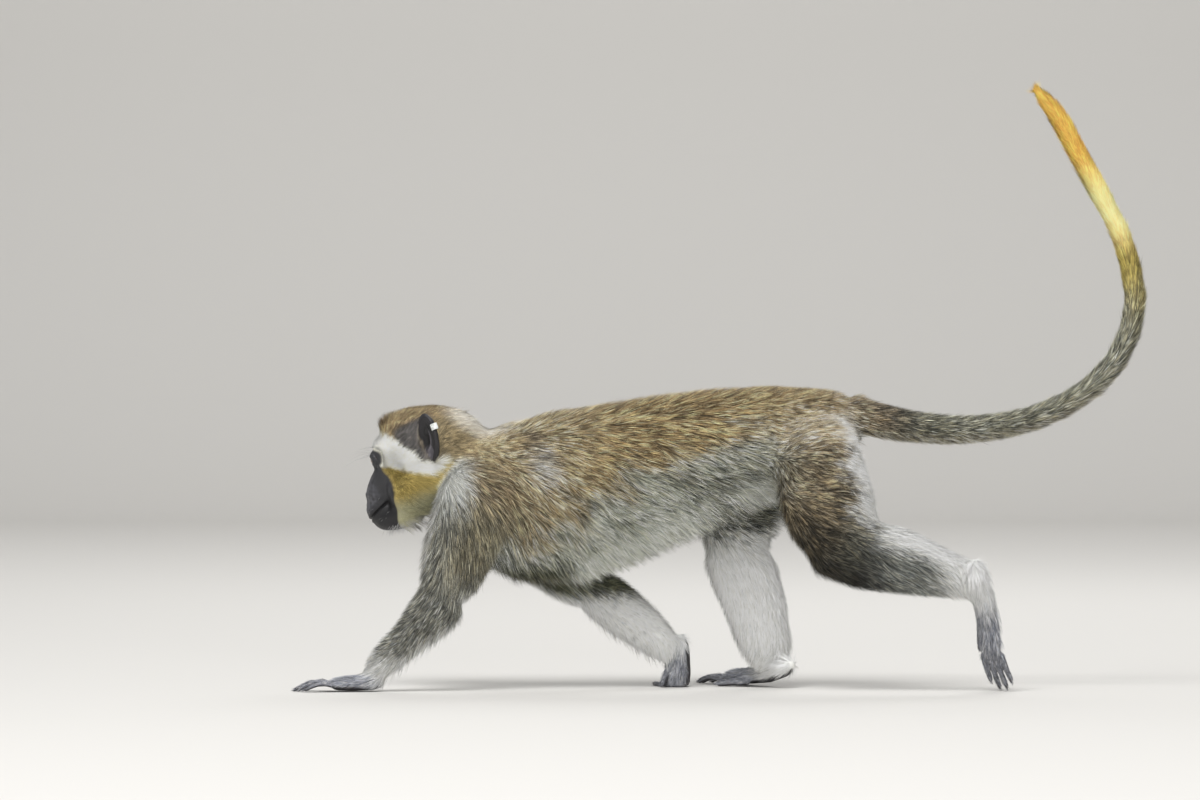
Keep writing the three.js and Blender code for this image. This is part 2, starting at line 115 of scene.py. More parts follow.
def paleness(colours: np.ndarray) -> np.ndarray:
    """How pale colours are, from 0 for dark and middle tones to 1 for those near white."""
    return ease(0.25, 0.6, colours @ LUMA)


def ripple(points: np.ndarray, wavelength: float, seed: int, waves: int = 10) -> np.ndarray:
    """Smooth noise without a grid, made of plane waves in seeded directions.

    Args:
        points: places in metres, one row each.
        wavelength: mean distance between crests, in metres.
        seed: chooses the directions.
        waves: how many waves are added.

    Returns:
        Values of about -1 to 1, one for each point.
    """
    rng = np.random.default_rng(seed)
    heading = unit(rng.normal(size=(waves, 3)))
    pitch = 2 * np.pi / (wavelength * rng.uniform(0.6, 1.6, waves))
    phase = rng.uniform(0, 2 * np.pi, waves)
    return np.sin(points @ (heading * pitch[:, None]).T + phase).sum(1) * math.sqrt(2 / waves) / 1.6


def add_node(
    tree: bpy.types.NodeTree, kind: str, links: dict | None = None, **settings: object
) -> bpy.types.Node:
    """Adds a node with its settings and links.

    Args:
        tree: the node tree it goes in.
        kind: the node's Blender type, such as "ShaderNodeBump".
        links: for each input, by name or number, the output socket that feeds it.
        settings: attributes of the node, or, for names of inputs with _ for spaces, their values.

    Returns:
        The new node.
    """
    made = tree.nodes.new(kind)
    for name, value in settings.items():
        if hasattr(made, name):
            setattr(made, name, value)
        else:
            made.inputs[name.replace("_", " ")].default_value = value
    feed(made, links or {})
    return made


def feed(node: bpy.types.Node, links: dict) -> None:
    """Links output sockets to a node's inputs, given by name or number."""
    for name, socket in links.items():
        node.id_data.links.new(socket, node.inputs[name])


def new_material(
    name: str, **values: object
) -> tuple[bpy.types.Material, bpy.types.NodeTree, bpy.types.Node]:
    """Makes a material with one Principled BSDF.

    Args:
        name: the real material and how it was made.
        values: the shader's constants, by the names of its sockets with _ for spaces.

    Returns:
        The material, its node tree and the shader.
    """
    material = bpy.data.materials.new(name)
    material.use_nodes = True
    shader = material.node_tree.nodes["Principled BSDF"]
    for socket, value in values.items():
        shader.inputs[socket.replace("_", " ")].default_value = value
    return material, material.node_tree, shader


def set_stops(ramp: bpy.types.Node, stops: Sequence[tuple[float, str]]) -> None:
    """Gives a colour ramp its stops, each a position and an sRGB hex colour.

    Args:
        ramp: the ramp's node.
        stops: its stops in order.
    """
    elements = ramp.color_ramp.elements
    for index, (position, code) in enumerate(stops):
        stop = elements[index] if index < len(elements) else elements.new(position)
        stop.position = position
        stop.color = (*linear(code), 1)


def rows_of(
    items: bpy.types.bpy_prop_collection, name: str, width: int, kind: type = np.float32
) -> np.ndarray:
    """Reads one property of every vertex, edge, triangle or corner of a mesh.

    Args:
        items: the mesh's vertices, edges, triangles or corners.
        name: the property.
        width: how many numbers it has.
        kind: the numbers' type.

    Returns:
        One row for each item.
    """
    flat = np.empty(len(items) * width, kind)
    items.foreach_get(name, flat)
    return flat.reshape(-1, width)


def vertices_of(mesh: bpy.types.Mesh) -> np.ndarray:
    """The mesh's vertices as rows of x, y and z."""
    return rows_of(mesh.vertices, "co", 3).astype(float)


def normals_of(mesh: bpy.types.Mesh) -> np.ndarray:
    """The mesh's vertex normals as rows of x, y and z."""
    return rows_of(mesh.vertex_normals, "vector", 3).astype(float)


def place_vertices(mesh: bpy.types.Mesh, points: np.ndarray) -> None:
    """Moves the mesh's vertices to the given rows of x, y and z."""
    mesh.vertices.foreach_set("co", points.astype(np.float32).ravel())
    mesh.update()


def to_mesh(work: bmesh.types.BMesh, name: str) -> bpy.types.Mesh:
    """Turns a bmesh into a new mesh and frees it.

    Args:
        work: the bmesh.
        name: the new mesh's name.

    Returns:
        The mesh.
    """
    mesh = bpy.data.meshes.new(name)
    work.to_mesh(mesh)
    work.free()
    return mesh


def new_object(name: str, mesh: bpy.types.Mesh, *materials: bpy.types.Material) -> bpy.types.Object:
    """Links a mesh into the scene as an object at the origin, with its materials.

    Args:
        name: its name.
        mesh: its mesh.
        materials: what it is dressed in.

    Returns:
        The object.
    """
    made = bpy.data.objects.new(name, mesh)
    bpy.context.scene.collection.objects.link(made)
    for material in materials:
        mesh.materials.append(material)
    return made


def evaluated_copy(source: bpy.types.Object) -> bpy.types.Mesh:
    """The object's mesh with its modifiers applied, as new data. The object itself is removed.

    Args:
        source: the object.

    Returns:
        The new mesh.
    """
    graph = bpy.context.evaluated_depsgraph_get()
    graph.update()
    result = bpy.data.meshes.new_from_object(source.evaluated_get(graph))
    bpy.data.objects.remove(source)
    return result


def hand_over(piece: bpy.types.Object, slot: "Slot", *nodes: str) -> None:
    """Rides a piece on the body, in place of the CAD nodes it stands for, and reports it.

    Args:
        piece: the object.
        slot: its material slot; not used.
        nodes: the nodes that it replaces, if any.
    """
    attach(piece, "root")
    if nodes:
        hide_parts(*nodes)
    log.info("%s: %d faces", piece.name, len(piece.data.polygons))


def axes_turn(*axes: np.ndarray) -> Matrix:
    """The turn that takes x, y and z to the three axes."""
    return Matrix(axes).transposed().to_4x4()


def paint(mesh: bpy.types.Mesh, colours: np.ndarray) -> None:
    """Stores one linear colour for each vertex in the mesh's markings attribute.

    Args:
        mesh: the mesh.
        colours: one colour for each vertex.
    """
    rgba = np.ones((len(colours), 4), np.float32)
    rgba[:, :3] = np.clip(colours, 0, 1)
    layer = mesh.color_attributes.new(MARKINGS, "FLOAT_COLOR", "POINT")
    layer.data.foreach_set("color", rgba.ravel())


# ---------------------------------------------------------------- where things are


@dataclass(frozen=True)
class HeadAxes:
    """The head's own axes, worked out from where the eyes sit.

    Forward is towards the nose, side is towards the animal's right and up is towards the crown.
    """

    centre: np.ndarray
    forward: np.ndarray
    side: np.ndarray
    up: np.ndarray

    @classmethod
    def from_eyes(
        cls, nose_down: float = 25, eye_forward: float = 58 * MM, eye_up: float = 16.5 * MM
    ) -> "HeadAxes":
        """Finds the axes from the two eye nodes.

        Args:
            nose_down: how far the nose points below level, in degrees.
            eye_forward: the eyes' distance in front of the head's centre.
            eye_up: their height above it, along the head's own up.

        Returns:
            The axes.
        """
        left, right = (box_centre(f"eye_{name}") for name in ("left", "right"))
        side = unit((right - left) * (1, 1, 0))
        level = np.cross((0, 0, 1), side)
        dip = math.radians(nose_down)
        forward = level * math.cos(dip) - np.array((0, 0, math.sin(dip)))
        up = np.cross(side, forward)
        return cls((left + right) / 2 - forward * eye_forward - up * eye_up, forward, side, up)

    def local(self, points: np.ndarray) -> np.ndarray:
        """Turns points of the model into forward, side and up, in millimetres."""
        return (points - self.centre) @ np.stack([self.forward, self.side, self.up], 1) / MM

    def direction(self, forward: float, side: float, up: float) -> np.ndarray:
        """A direction in the model from one in the head's axes."""
        return unit(self.forward * forward + self.side * side + self.up * up)


@dataclass(frozen=True)
class EarAxes:
    """One ear's own axes: towards its rear edge, outwards from the skull and towards its tip."""

    centre: np.ndarray
    rear: np.ndarray
    outward: np.ndarray
    tip: np.ndarray

    @classmethod
    def of(cls, name: str, head: HeadAxes) -> "EarAxes":
        """Finds the axes of an ear node, the longest to its tip and the shortest outwards.

        Args:
            name: the ear's CAD node.
            head: the head's axes.

        Returns:
            The axes.
        """
        points = vertices_of(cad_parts[name].data)
        rows = np.linalg.svd(points - points.mean(0), full_matrices=False)[2]
        away = box_centre(name) - head.centre
        tip = rows[0] * np.sign(rows[0] @ head.up)
        rear = rows[1] * -np.sign(rows[1] @ head.forward)
        outward = rows[2] * np.sign(rows[2] @ (head.side * np.sign(away @ head.side)))
        turned = np.stack([rear, outward, tip])
        spread = points @ turned.T
        return cls((spread.min(0) + spread.max(0)) / 2 @ turned, rear, outward, tip)

    def local(self, points: np.ndarray) -> np.ndarray:
        """Turns points of the model into rear, outward and tip, in millimetres."""
        return (points - self.centre) @ np.stack([self.rear, self.outward, self.tip], 1) / MM


def box_centre(name: str) -> np.ndarray:
    """The middle of a CAD node's box."""
    low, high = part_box(name)
    return (np.array(low) + np.array(high)) / 2


class Slot(Enum):
    """The record's material slots."""

    CROWN = "crown_coat"
    BACK = "back_coat"
    FLANK = "flank_coat"
    LIMB = "limb_coat"
    TAIL = "tail_coat"
    GOLD = "golden_coat"
    SKIN = "bare_skin"
    EYES = "eyes"
    TAG = "ear_tag"


AHEAD = (0, 0, 0)
BACKWARD = (1, 0, -0.2)


@dataclass(frozen=True)
class Growth:
    """How the hair of one stretch of the body grows.

    Sizes are in millimetres. The depth is how far the skin lies inside the coat's tips. The hair lies
    along the lay and, where the growth names one, towards the next node.
    """

    name: str
    piece: str
    depth: float
    length: float
    width: float
    density: float
    lay: tuple[float, float, float]
    toward: str
    ticking: float
    smoothing: float
    nodes: tuple[str, ...] = ()

    def covers(self) -> tuple[str, ...]:
        """The CAD nodes that it covers: the one of its own name, unless others are given."""
        return self.nodes or (self.name,)

    def on(self, side: str) -> "Growth":
        """The same growth on one side's limb.

        Args:
            side: left or right.

        Returns:
            That side's growth.
        """
        toward = self.toward and f"{self.toward}_{side}"
        nodes = tuple(f"{node}_{side}" for node in self.nodes)
        return replace(self, name=f"{self.name}_{side}", toward=toward, nodes=nodes)


def sides(stem: str) -> tuple[str, str]:
    """The left and right node of one name."""
    return f"{stem}_left", f"{stem}_right"


DIGITS = {
    "hand": ("thumb", "index_finger", "middle_finger", "ring_finger", "little_finger"),
    "foot": ("big_toe", "second_toe", "third_toe", "fourth_toe", "little_toe"),
}
EYE_NODES = sides("eye")
EAR_NODES = sides("ear")
TAG_NODE = "ear_tag"
TAIL_NODES = ("tail_root", "tail_sweep", "tail_bend", "tail_rise", "tail_tip")

# Name, coat piece, depth, length, width, density, lay, next node, ticking, smoothing, nodes.
LIMBS = (
    Growth("upper_arm", "coat_arms", 6, 15, 0.64, 1.3, (0.35, 0, -0.4), "forearm", 0.8, 1.6),
    Growth("forearm", "coat_arms", 4, 7, 0.55, 1.4, AHEAD, "hand", 1.0, 1.4),
    Growth("thigh", "coat_thighs", 6, 13, 0.64, 1.0, (1, 0, -0.12), "", 1.05, 1.6),
    Growth("shank", "coat_shanks", 4.5, 11, 0.62, 1.2, AHEAD, "foot", 0.75, 1.4),
    Growth("hand", "coat_arms", 1.5, 8, 0.55, 2.2, AHEAD, "middle_finger", 0.6, 0.25),
    Growth("hand_digits", "coat_arms", 0.7, 6, 0.42, 2.8, AHEAD, "middle_finger", 0.7, 0.1, DIGITS["hand"]),
    Growth("foot", "coat_shanks", 2.4, 10, 0.55, 2.2, AHEAD, "third_toe", 0.6, 0.25),
    Growth("foot_digits", "coat_shanks", 0.7, 6, 0.42, 2.8, AHEAD, "third_toe", 0.7, 0.1, DIGITS["foot"]),
)
GROWTHS = (
    Growth("head", "coat_head", 4.2, 8, 0.55, 1.6, AHEAD, "", 0.42, 0.6),
    Growth("jaw", "coat_head", 0.4, 5, 0.45, 1.6, AHEAD, "", 0.1, 0.3, ("muzzle", "lower_jaw")),
    Growth("ears", "coat_head", 0.2, 3, 0.35, 0.5, (0.3, 0, 1), "", 0.1, 0.12, EAR_NODES),
    Growth("neck", "coat_neck", 6.5, 17, 0.64, 1.3, BACKWARD, "", 0.7, 1.6),
    Growth("chest", "coat_chest", 6.5, 18, 0.7, 1.0, BACKWARD, "", 1.0, 1.5),
    Growth("abdomen", "coat_abdomen", 6, 17, 0.7, 1.0, BACKWARD, "", 1.05, 1.3),
    Growth("pelvis", "coat_pelvis", 6, 15, 0.68, 1.0, BACKWARD, "", 1.0, 1.3),
    Growth("tail_root", "coat_tail", 4.5, 13, 0.64, 1.1, AHEAD, "tail_bend", 1.0, 1.2, TAIL_NODES[:2]),
    Growth("tail_bend", "coat_tail", 4, 12, 0.64, 1.1, AHEAD, "tail_rise", 1.0, 1.2),
    Growth("tail_rise", "coat_tail_gold", 4, 12, 0.64, 1.2, AHEAD, "tail_tip", 0.55, 1.2),
    Growth("tail_tip", "coat_tail_gold", 3.6, 14, 0.8, 1.2, (-0.46, 0, 0.89), "", 0.35, 1.0),
    *(growth.on(side) for side in ("left", "right") for growth in LIMBS),
)

# Each coat piece's number of tufts, its slot, and the size of its locks against the widest.
COATS = {
    "coat_head": (48000, Slot.CROWN, 0.75),
    "coat_neck": (20000, Slot.BACK, 1),
    "coat_chest": (42000, Slot.FLANK, 1),
    "coat_abdomen": (34000, Slot.FLANK, 1),
    "coat_pelvis": (33000, Slot.BACK, 1),
    "coat_arms": (46000, Slot.LIMB, 0.75),
    "coat_thighs": (40000, Slot.LIMB, 1),
    "coat_shanks": (36000, Slot.LIMB, 0.75),
    "coat_tail": (26000, Slot.TAIL, 1),
    "coat_tail_gold": (18000, Slot.GOLD, 1),
}


def growth_values(name: str, growths: np.ndarray) -> np.ndarray:
    """One of the growths' measures at each point, from the number of the point's growth."""
    return np.array([getattr(growth, name) for growth in GROWTHS])[growths]


class Links:
    """Which vertices of a mesh are joined by edges, for smoothing values over its surface.

    The focus says how closely streaks keep to the hair's direction, and the leak how much they spread
    sideways all the same.
    """

    FOCUS = 6
    LEAK = 0.004
    STREAK_LIMIT = 2.5

    def __init__(self, mesh: bpy.types.Mesh) -> None:
        """Reads the edges.

        Args:
            mesh: the mesh to smooth over.
        """
        ends = rows_of(mesh.edges, "vertices", 2, np.int32)
        both = np.concatenate([ends, ends[:, ::-1]])
        both = both[np.argsort(both[:, 0], kind="stable")]
        self.own = both[:, 0]
        self.neighbour = both[:, 1]
        self.count = np.bincount(both[:, 0], minlength=len(mesh.vertices))
        self.start = np.concatenate([[0], np.cumsum(self.count)[:-1]])

    def smooth(self, values: np.ndarray, rounds: int, share: float | np.ndarray = 1.0) -> np.ndarray:
        """Replaces each value by the mean of its neighbours', again and again.

        Args:
            values: one row for each vertex.
            rounds: how many times.
            share: how much of the mean is taken each time, one number or one for each vertex.

        Returns:
            The smoothed values.
        """
        count = np.maximum(self.count, 1)[:, None]
        rows = values.reshape(len(values), -1)
        part = np.reshape(share, (-1, 1)) if np.ndim(share) else share
        for _ in range(rounds):
            mean = np.add.reduceat(rows[self.neighbour], self.start, axis=0) / count
            rows = rows + (mean - rows) * part
        return rows.reshape(values.shape)

    def brush(self, values: np.ndarray, points: np.ndarray, lay: np.ndarray, rounds: int) -> np.ndarray:
        """Draws values out into streaks along the lie of the hair.

        Args:
            values: one number for each vertex.
            points: the vertices.
            lay: the hair's direction at each vertex.
            rounds: how many times each value is mixed with those before and behind it.

        Returns:
            The streaks, with a mean of 0 and a spread of 1.
        """
        step = unit(points[self.neighbour] - points[self.own])
        weight = (step * lay[self.own]).sum(1) ** self.FOCUS + self.LEAK
        total = np.add.reduceat(weight, self.start)
        for _ in range(rounds):
            values = np.add.reduceat(values[self.neighbour] * weight, self.start) / total
        values = values - self.smooth(values, 12)
        return np.clip((values - values.mean()) / values.std(), -self.STREAK_LIMIT, self.STREAK_LIMIT)


class NodeFinder:
    """Tells which CAD node each point of the skin belongs to."""

    def __init__(self, names: Sequence[str]) -> None:
        """Gathers the nodes' faces.

        Args:
            names: the CAD nodes to look among.
        """
        self.names = list(names)
        points, faces, owners = [], [], []
        for index, name in enumerate(self.names):
            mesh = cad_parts[name].data
            first = len(points)
            points += [v.co.copy() for v in mesh.vertices]
            for polygon in mesh.polygons:
                faces.append([first + v for v in polygon.vertices])
                owners.append(index)
        self.tree = BVHTree.FromPolygons(points, faces)
        self.owners = owners

    def owner(self, points: np.ndarray) -> np.ndarray:
        """The number of the nearest node for each point."""
        return np.array([self.owners[self.tree.find_nearest(p)[2]] for p in points.tolist()])


# ---------------------------------------------------------------- the skin


@dataclass
class EyeSize:
    """One eye and its lids. Sizes are in millimetres and angles in degrees."""

    radius: float = 8.2
    lid: float = 1.25
    half_width: float = 6.9
    upper: float = 4.3
    lower: float = 3.5
    sunk: float = 1.2
    crease: float = 3.0
    outward: float = 7
    down: float = 6


@dataclass
class Skin:
    """One closed skin over the whole body, inside the coat's tips by its depth.

    Sizes are in millimetres. The rounds and the pull are those of the smoothing. The two shares say how
    freely faces are taken away below the coat. A fillet spreads some rounds of vertices from a crease and
    fades on the way.
    """

    voxel: float = 1.1
    grow: float = 0.45
    rounds: int = 220
    pull: float = 0.6
    target_faces: int = 136000
    hidden_share: float = 0.7
    crown_share: float = 0.25
    fillet: float = 5.5
    fillet_spread: int = 14
    fillet_fade: float = 0.94
    fillet_rounds: int = 200
    eye: EyeSize = field(default_factory=EyeSize)
    mouth_corner: tuple[float, float] = (69.5, -25.6)
    mouth_slope: float = -0.26
    mouth_depth: float = 1.5

    def build(self, axes: HeadAxes) -> None:
        """Makes the mesh in steps: join, remesh, smooth, sink below the coat, thin out and sculpt.

        Args:
            axes: the head's axes, for the face.
        """
        self.axes = axes
        self.flesh = [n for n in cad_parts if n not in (*EYE_NODES, TAG_NODE)]
        self.finder = NodeFinder(self.flesh)
        self.growth_of = np.zeros(len(self.flesh), int)
        for index, growth in enumerate(GROWTHS):
            for name in growth.covers():
                self.growth_of[self.flesh.index(name)] = index
        mesh = self.remeshed()
        log.info("skin remeshed: %d vertices", len(mesh.vertices))
        mesh = self.sunk(mesh)
        mesh = self.filleted(self.thinned(mesh))
        log.info("skin thinned: %d faces", len(mesh.polygons))
        mesh = self.refined(mesh)
        self.sculpt(mesh)
        self.mesh = mesh
        self.measure()
        log.info("skin sculpted: %d faces", len(mesh.polygons))

    def remeshed(self) -> bpy.types.Mesh:
        """Joins slightly grown copies of the nodes and makes one surface over them.

        Returns:
            The mesh, not yet smooth.
        """
        joined = bmesh.new()
        for name in (*self.flesh, *EYE_NODES):
            piece = bmesh.new()
            piece.from_mesh(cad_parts[name].data)
            bmesh.ops.remove_doubles(piece, verts=piece.verts, dist=MERGE)
            piece.normal_update()
            for vertex in piece.verts:
                vertex.co += vertex.normal * self.grow * MM
            single = to_mesh(piece, "grown")
            joined.from_mesh(single)
            bpy.data.meshes.remove(single)
        holder = new_object("joined", to_mesh(joined, "joined"))
        remesh = holder.modifiers.new("one surface", "REMESH")
        remesh.mode = "VOXEL"
        remesh.voxel_size = self.voxel * MM * 1
        return evaluated_copy(holder)

    def growths_at(self, points: np.ndarray) -> np.ndarray:
        """The number in GROWTHS of each point."""
        return self.growth_of[self.finder.owner(points)]

    def sunk(self, mesh: bpy.types.Mesh) -> bpy.types.Mesh:
        """Smooths away the facets and moves the surface inwards by the depth of the coat.

        Args:
            mesh: the joined surface.

        Returns:
            The same mesh, moved.
        """
        first, links = vertices_of(mesh), Links(mesh)
        owner = self.growths_at(first)
        share = links.smooth(growth_values("smoothing", owner), 12)
        points = links.smooth(first, self.rounds, self.pull * share)
        place_vertices(mesh, points)
        normals = normals_of(mesh)
        lost = links.smooth(((first - points) * normals).sum(1), self.rounds // 2, self.pull * share)
        points = points + normals * lost[:, None]
        place_vertices(mesh, points)
        depth = links.smooth(growth_values("depth", owner), 10)
        depth = np.where(np.isin(owner, self.head_growths()), self.head_depth(points, depth), depth)
        depth = links.smooth(depth, 4)
        points = points - normals_of(mesh) * depth[:, None] * MM
        place_vertices(mesh, links.smooth(points, 3, 0.4 * share))
        return mesh

    def head_growths(self) -> list[int]:
        """The numbers of the growths on the head."""
        return [i for i, g in enumerate(GROWTHS) if g.name in ("head", "jaw")]

    def head_depth(self, points: np.ndarray, depth: np.ndarray) -> np.ndarray:
        """The coat's depth on the head, none on the bare face."""
        local = self.axes.local(points)
        return depth * (1 - bare_face(local)) * (1 - 0.45 * short_haired(local))

    def thinned(self, mesh: bpy.types.Mesh) -> bpy.types.Mesh:
        """Takes faces away where the coat hides the skin, and keeps them on the head, hands and feet.

        Args:
            mesh: the sunk surface.

        Returns:
            A mesh with fewer faces.
        """
        owner = self.growths_at(vertices_of(mesh))
        holder = new_object("thinning", mesh)
        hidden = holder.vertex_groups.new(name="hidden")
        stems = ("neck", "chest", "abdomen", "pelvis", "tail", "upper_arm", "forearm", "thigh", "shank")
        for index, growth in enumerate(GROWTHS):
            share = self.hidden_share if growth.name.startswith(stems) else 0
            if growth.name == "head":
                share = self.crown_share
            hidden.add(np.nonzero(owner == index)[0].tolist(), share, "REPLACE")
        thin = holder.modifiers.new("fewer faces", "DECIMATE")
        thin.ratio = min(1, self.target_faces / (2 * len(mesh.polygons)))
        thin.vertex_group = hidden.name
        thin.vertex_group_factor = 2
        return evaluated_copy(holder)

    def filleted(self, mesh: bpy.types.Mesh) -> bpy.types.Mesh:
        """Fills the creases where limbs, neck and tail join the trunk, and moves nothing inwards.

        Args:
            mesh: the thinned surface.

        Returns:
            The same mesh, moved.
        """
        points, links = vertices_of(mesh), Links(mesh)
        owner = self.growths_at(points)
        joined = np.array([not g.name.startswith(("jaw", "ears", "hand", "foot_digits")) for g in GROWTHS])
        own, neighbour = owner[links.own], owner[links.neighbour]
        zone = np.zeros(len(points))
        zone[links.own[(own != neighbour) & joined[own] & joined[neighbour]]] = 1
        for _ in range(self.fillet_spread):
            near = np.maximum.reduceat(zone[links.neighbour], links.start)
            zone = np.maximum(zone, self.fillet_fade * near)
        normals = normals_of(mesh)
        rounded = links.smooth(points, self.fillet_rounds, self.pull * zone)
        outwards = ((rounded - points) * normals).sum(1)
        filled = links.smooth(np.clip(outwards, 0, self.fillet * MM), 20)
        place_vertices(mesh, points + normals * filled[:, None])
        return mesh

    def refined(self, mesh: bpy.types.Mesh) -> bpy.types.Mesh:
        """Cuts the faces round the eyes, nose and mouth finer, to hold the folds there.

        Args:
            mesh: the filleted surface.

        Returns:
            The same mesh with more faces.
        """
        work = bmesh.new()
        work.from_mesh(mesh)
        for zone in (self.mouth_zone, self.lid_zone):
            work.verts.ensure_lookup_table()
            points = np.array([v.co for v in work.verts])
            chosen = zone(self.axes.local(points))
            edges = [e for e in work.edges if chosen[e.verts[0].index] and chosen[e.verts[1].index]]
            bmesh.ops.subdivide_edges(work, edges=edges, cuts=1, use_grid_fill=True)
            bmesh.ops.triangulate(work, faces=[f for f in work.faces if len(f.verts) > 4])
            work.verts.index_update()
        bmesh.ops.triangulate(work, faces=work.faces)
        work.to_mesh(mesh)
        work.free()
        return mesh

    def mouth_zone(self, local: np.ndarray) -> np.ndarray:
        """Where the lips, nose and lids are."""
        front = (local[:, 0] > 60) & (local[:, 2] < 8) & (np.abs(local[:, 1]) < 28)
        return front | self.near_eyes(local, 15)

    def lid_zone(self, local: np.ndarray) -> np.ndarray:
        """Where the lids' edges are."""
        return self.near_eyes(local, 11)

    def near_eyes(self, local: np.ndarray, reach: float) -> np.ndarray:
        """Points within reach of either eye's centre.

        Args:
            local: points in the head's axes.
            reach: how far from the eye.

        Returns:
            Which are near.
        """
        near = np.zeros(len(local), bool)
        for name in EYE_NODES:
            near |= np.linalg.norm(local - self.axes.local(box_centre(name)[None]), axis=1) < reach
        return near

    def sculpt(self, mesh: bpy.types.Mesh) -> None:
        """Adds the lids, nostrils and mouth.

        Args:
            mesh: the refined surface.
        """
        points = vertices_of(mesh)
        normals = normals_of(mesh)
        local = self.axes.local(points)
        points = points + normals * (self.mouth(local) + self.nostrils(local))[:, None] * MM
        for side in (-1, 1):
            points = self.lids(points, side)
        # Weights for the ears' painted shade in the hollow and painted highlight on lobe and ridges.
        self.concha, self.fold = np.zeros(len(points)), np.zeros(len(points))
        for name in EAR_NODES:
            points = self.ear_folds(points, normals, EarAxes.of(name, self.axes))
        points[:, 2] = np.maximum(points[:, 2], FLOOR_CLEARANCE / 2)
        place_vertices(mesh, points)

    def mouth(self, local: np.ndarray) -> np.ndarray:
        """How far the surface moves out at the lips and in at the line between them, in millimetres.

        Args:
            local: points in the head's axes.

        Returns:
            The moves.
        """
        above = self.above_mouth(local)
        on = ease(-3, 4, local[:, 0] - self.mouth_corner[0])
        lips = bump((np.abs(above) - 2.6) / 1.7)
        return on * (0.75 * lips - self.mouth_depth * bump(above / 0.85))

    def above_mouth(self, local: np.ndarray) -> np.ndarray:
        """How far points lie above the line between the lips, which sinks from its corner to the front."""
        return local[:, 2] - self.mouth_corner[1] - self.mouth_slope * (local[:, 0] - self.mouth_corner[0])

    def nostrils(self, local: np.ndarray) -> np.ndarray:
        """How far the surface moves in at the two slanting nostrils and out at their rims.

        Args:
            local: points in the head's axes.

        Returns:
            The moves in millimetres.
        """
        total = np.zeros(len(local))
        for side in (-1, 1):
            inner = np.array((91.5, side * 2.2, -17.0))
            outer = np.array((87.5, side * 6.4, -10.5))
            slit = outer - inner
            share = np.clip((local - inner) @ slit / (slit @ slit), 0, 1)
            away = np.linalg.norm(local - inner - share[:, None] * slit, axis=1)
            width = 1.1 + 0.3 * np.sin(share * np.pi)
            total += -2.6 * bump(away / width) + 0.8 * bump((away - 2.6) / 1.1)
        return total

    def lids(self, points: np.ndarray, side: int) -> np.ndarray:
        """Lays the skin over one eyeball as two lids with a slanting almond opening.

        Args:
            points: the skin's vertices.
            side: -1 for the left eye, 1 for the right.

        Returns:
            The moved vertices.
        """
        size = self.eye
        centre = box_centre(EYE_NODES[(side + 1) // 2])
        gaze, across, upward = self.gaze(side)
        offset = (points - centre) / MM
        distance = np.linalg.norm(offset, axis=1)
        towards = offset / distance[:, None]
        near = (distance < 17) & (towards @ gaze > 0.1)
        shell = size.radius + size.lid
        x = shell * (towards @ across)
        y = shell * (towards @ upward) - 0.12 * x
        height = np.where(y > 0, size.upper, size.lower)
        reach = np.hypot(x, y)
        form = np.sqrt(np.abs(x / size.half_width) ** 2.3 + (y / height) ** 2)
        margin = reach - reach / np.maximum(form, 1e-6)
        inside = ease(0.25, -0.35, margin)
        lid = shell - 0.35 * ease(1.5, 0.2, margin)
        crease = 0.75 * bump((margin - size.crease) / 0.55) * np.where(y > 0, 1, 0.55)
        target = lid * (1 - inside) + (size.radius - size.sunk) * inside - crease
        keep = ease(2.5, 8, margin)
        radius = target * (1 - keep) + distance * keep
        moved = centre + towards * radius[:, None] * MM
        return np.where(near[:, None], moved, points)

    def ear_folds(self, points: np.ndarray, normals: np.ndarray, ear: EarAxes) -> np.ndarray:
        """Raises the rim, the inner ridge and the two small bumps of one ear, and deepens its hollow. Also
        weighs where a painted highlight lies on its lobe and ridges and where painted shade fills its hollow.

        Args:
            points: the skin's vertices.
            normals: its normals.
            ear: the ear's own axes.

        Returns:
            The moved vertices.
        """
        rear, out, tip = ear.local(points).T
        near = (np.abs(rear) < 18) & (np.abs(tip) < 32) & (np.abs(out) < 9)
        facing = ease(0.0, 0.5, normals @ ear.outward) * near
        from_bowl = np.hypot((rear - 1.5) / 9.6, (tip - 1) / 18.5)
        rim = 0.8 * bump((from_bowl - 1.17) / 0.1) - 0.7 * bump((from_bowl - 0.9) / 0.12)
        curve = 4.4 - 0.03 * (tip - 1) ** 2
        ridge = 1.5 * bump((rear - curve) / 1.5) * ease(-15, -10, tip) * ease(12, 6, tip)
        fork = bump((rear + 1.5 - 0.25 * (tip - 6)) / 1.5) * ease(2, 5, tip) * ease(13, 9, tip)
        hollow = bump((rear + 2.2) / 4.0, (tip + 4) / 6.5)
        tragus = 2.0 * bump((rear + 9.0) / 2.2, (tip + 6) / 3.6)
        antitragus = 1.5 * bump((rear + 0.5) / 2.6, (tip + 16) / 2.4)
        height = rim + ridge + fork + tragus + antitragus - 2.2 * hollow
        depth = np.maximum(hollow, ease(0.95, 0.6, from_bowl) * ease(-2, 5, tip))
        lobe = ease(0.95, 0.8, np.hypot((rear - 1) / 8, (tip + 13) / 9))
        # Weights of the painted highlight on the lobe and ridges and of the painted shade in the hollow.
        self.fold = np.maximum(self.fold, facing * np.clip(0.6 * lobe + 0.4 * (ridge + antitragus), 0, 1))
        self.concha = np.maximum(self.concha, facing * depth * (1 - 0.7 * np.clip(ridge + fork, 0, 1)))
        return points + ear.outward * (height * facing)[:, None] * MM

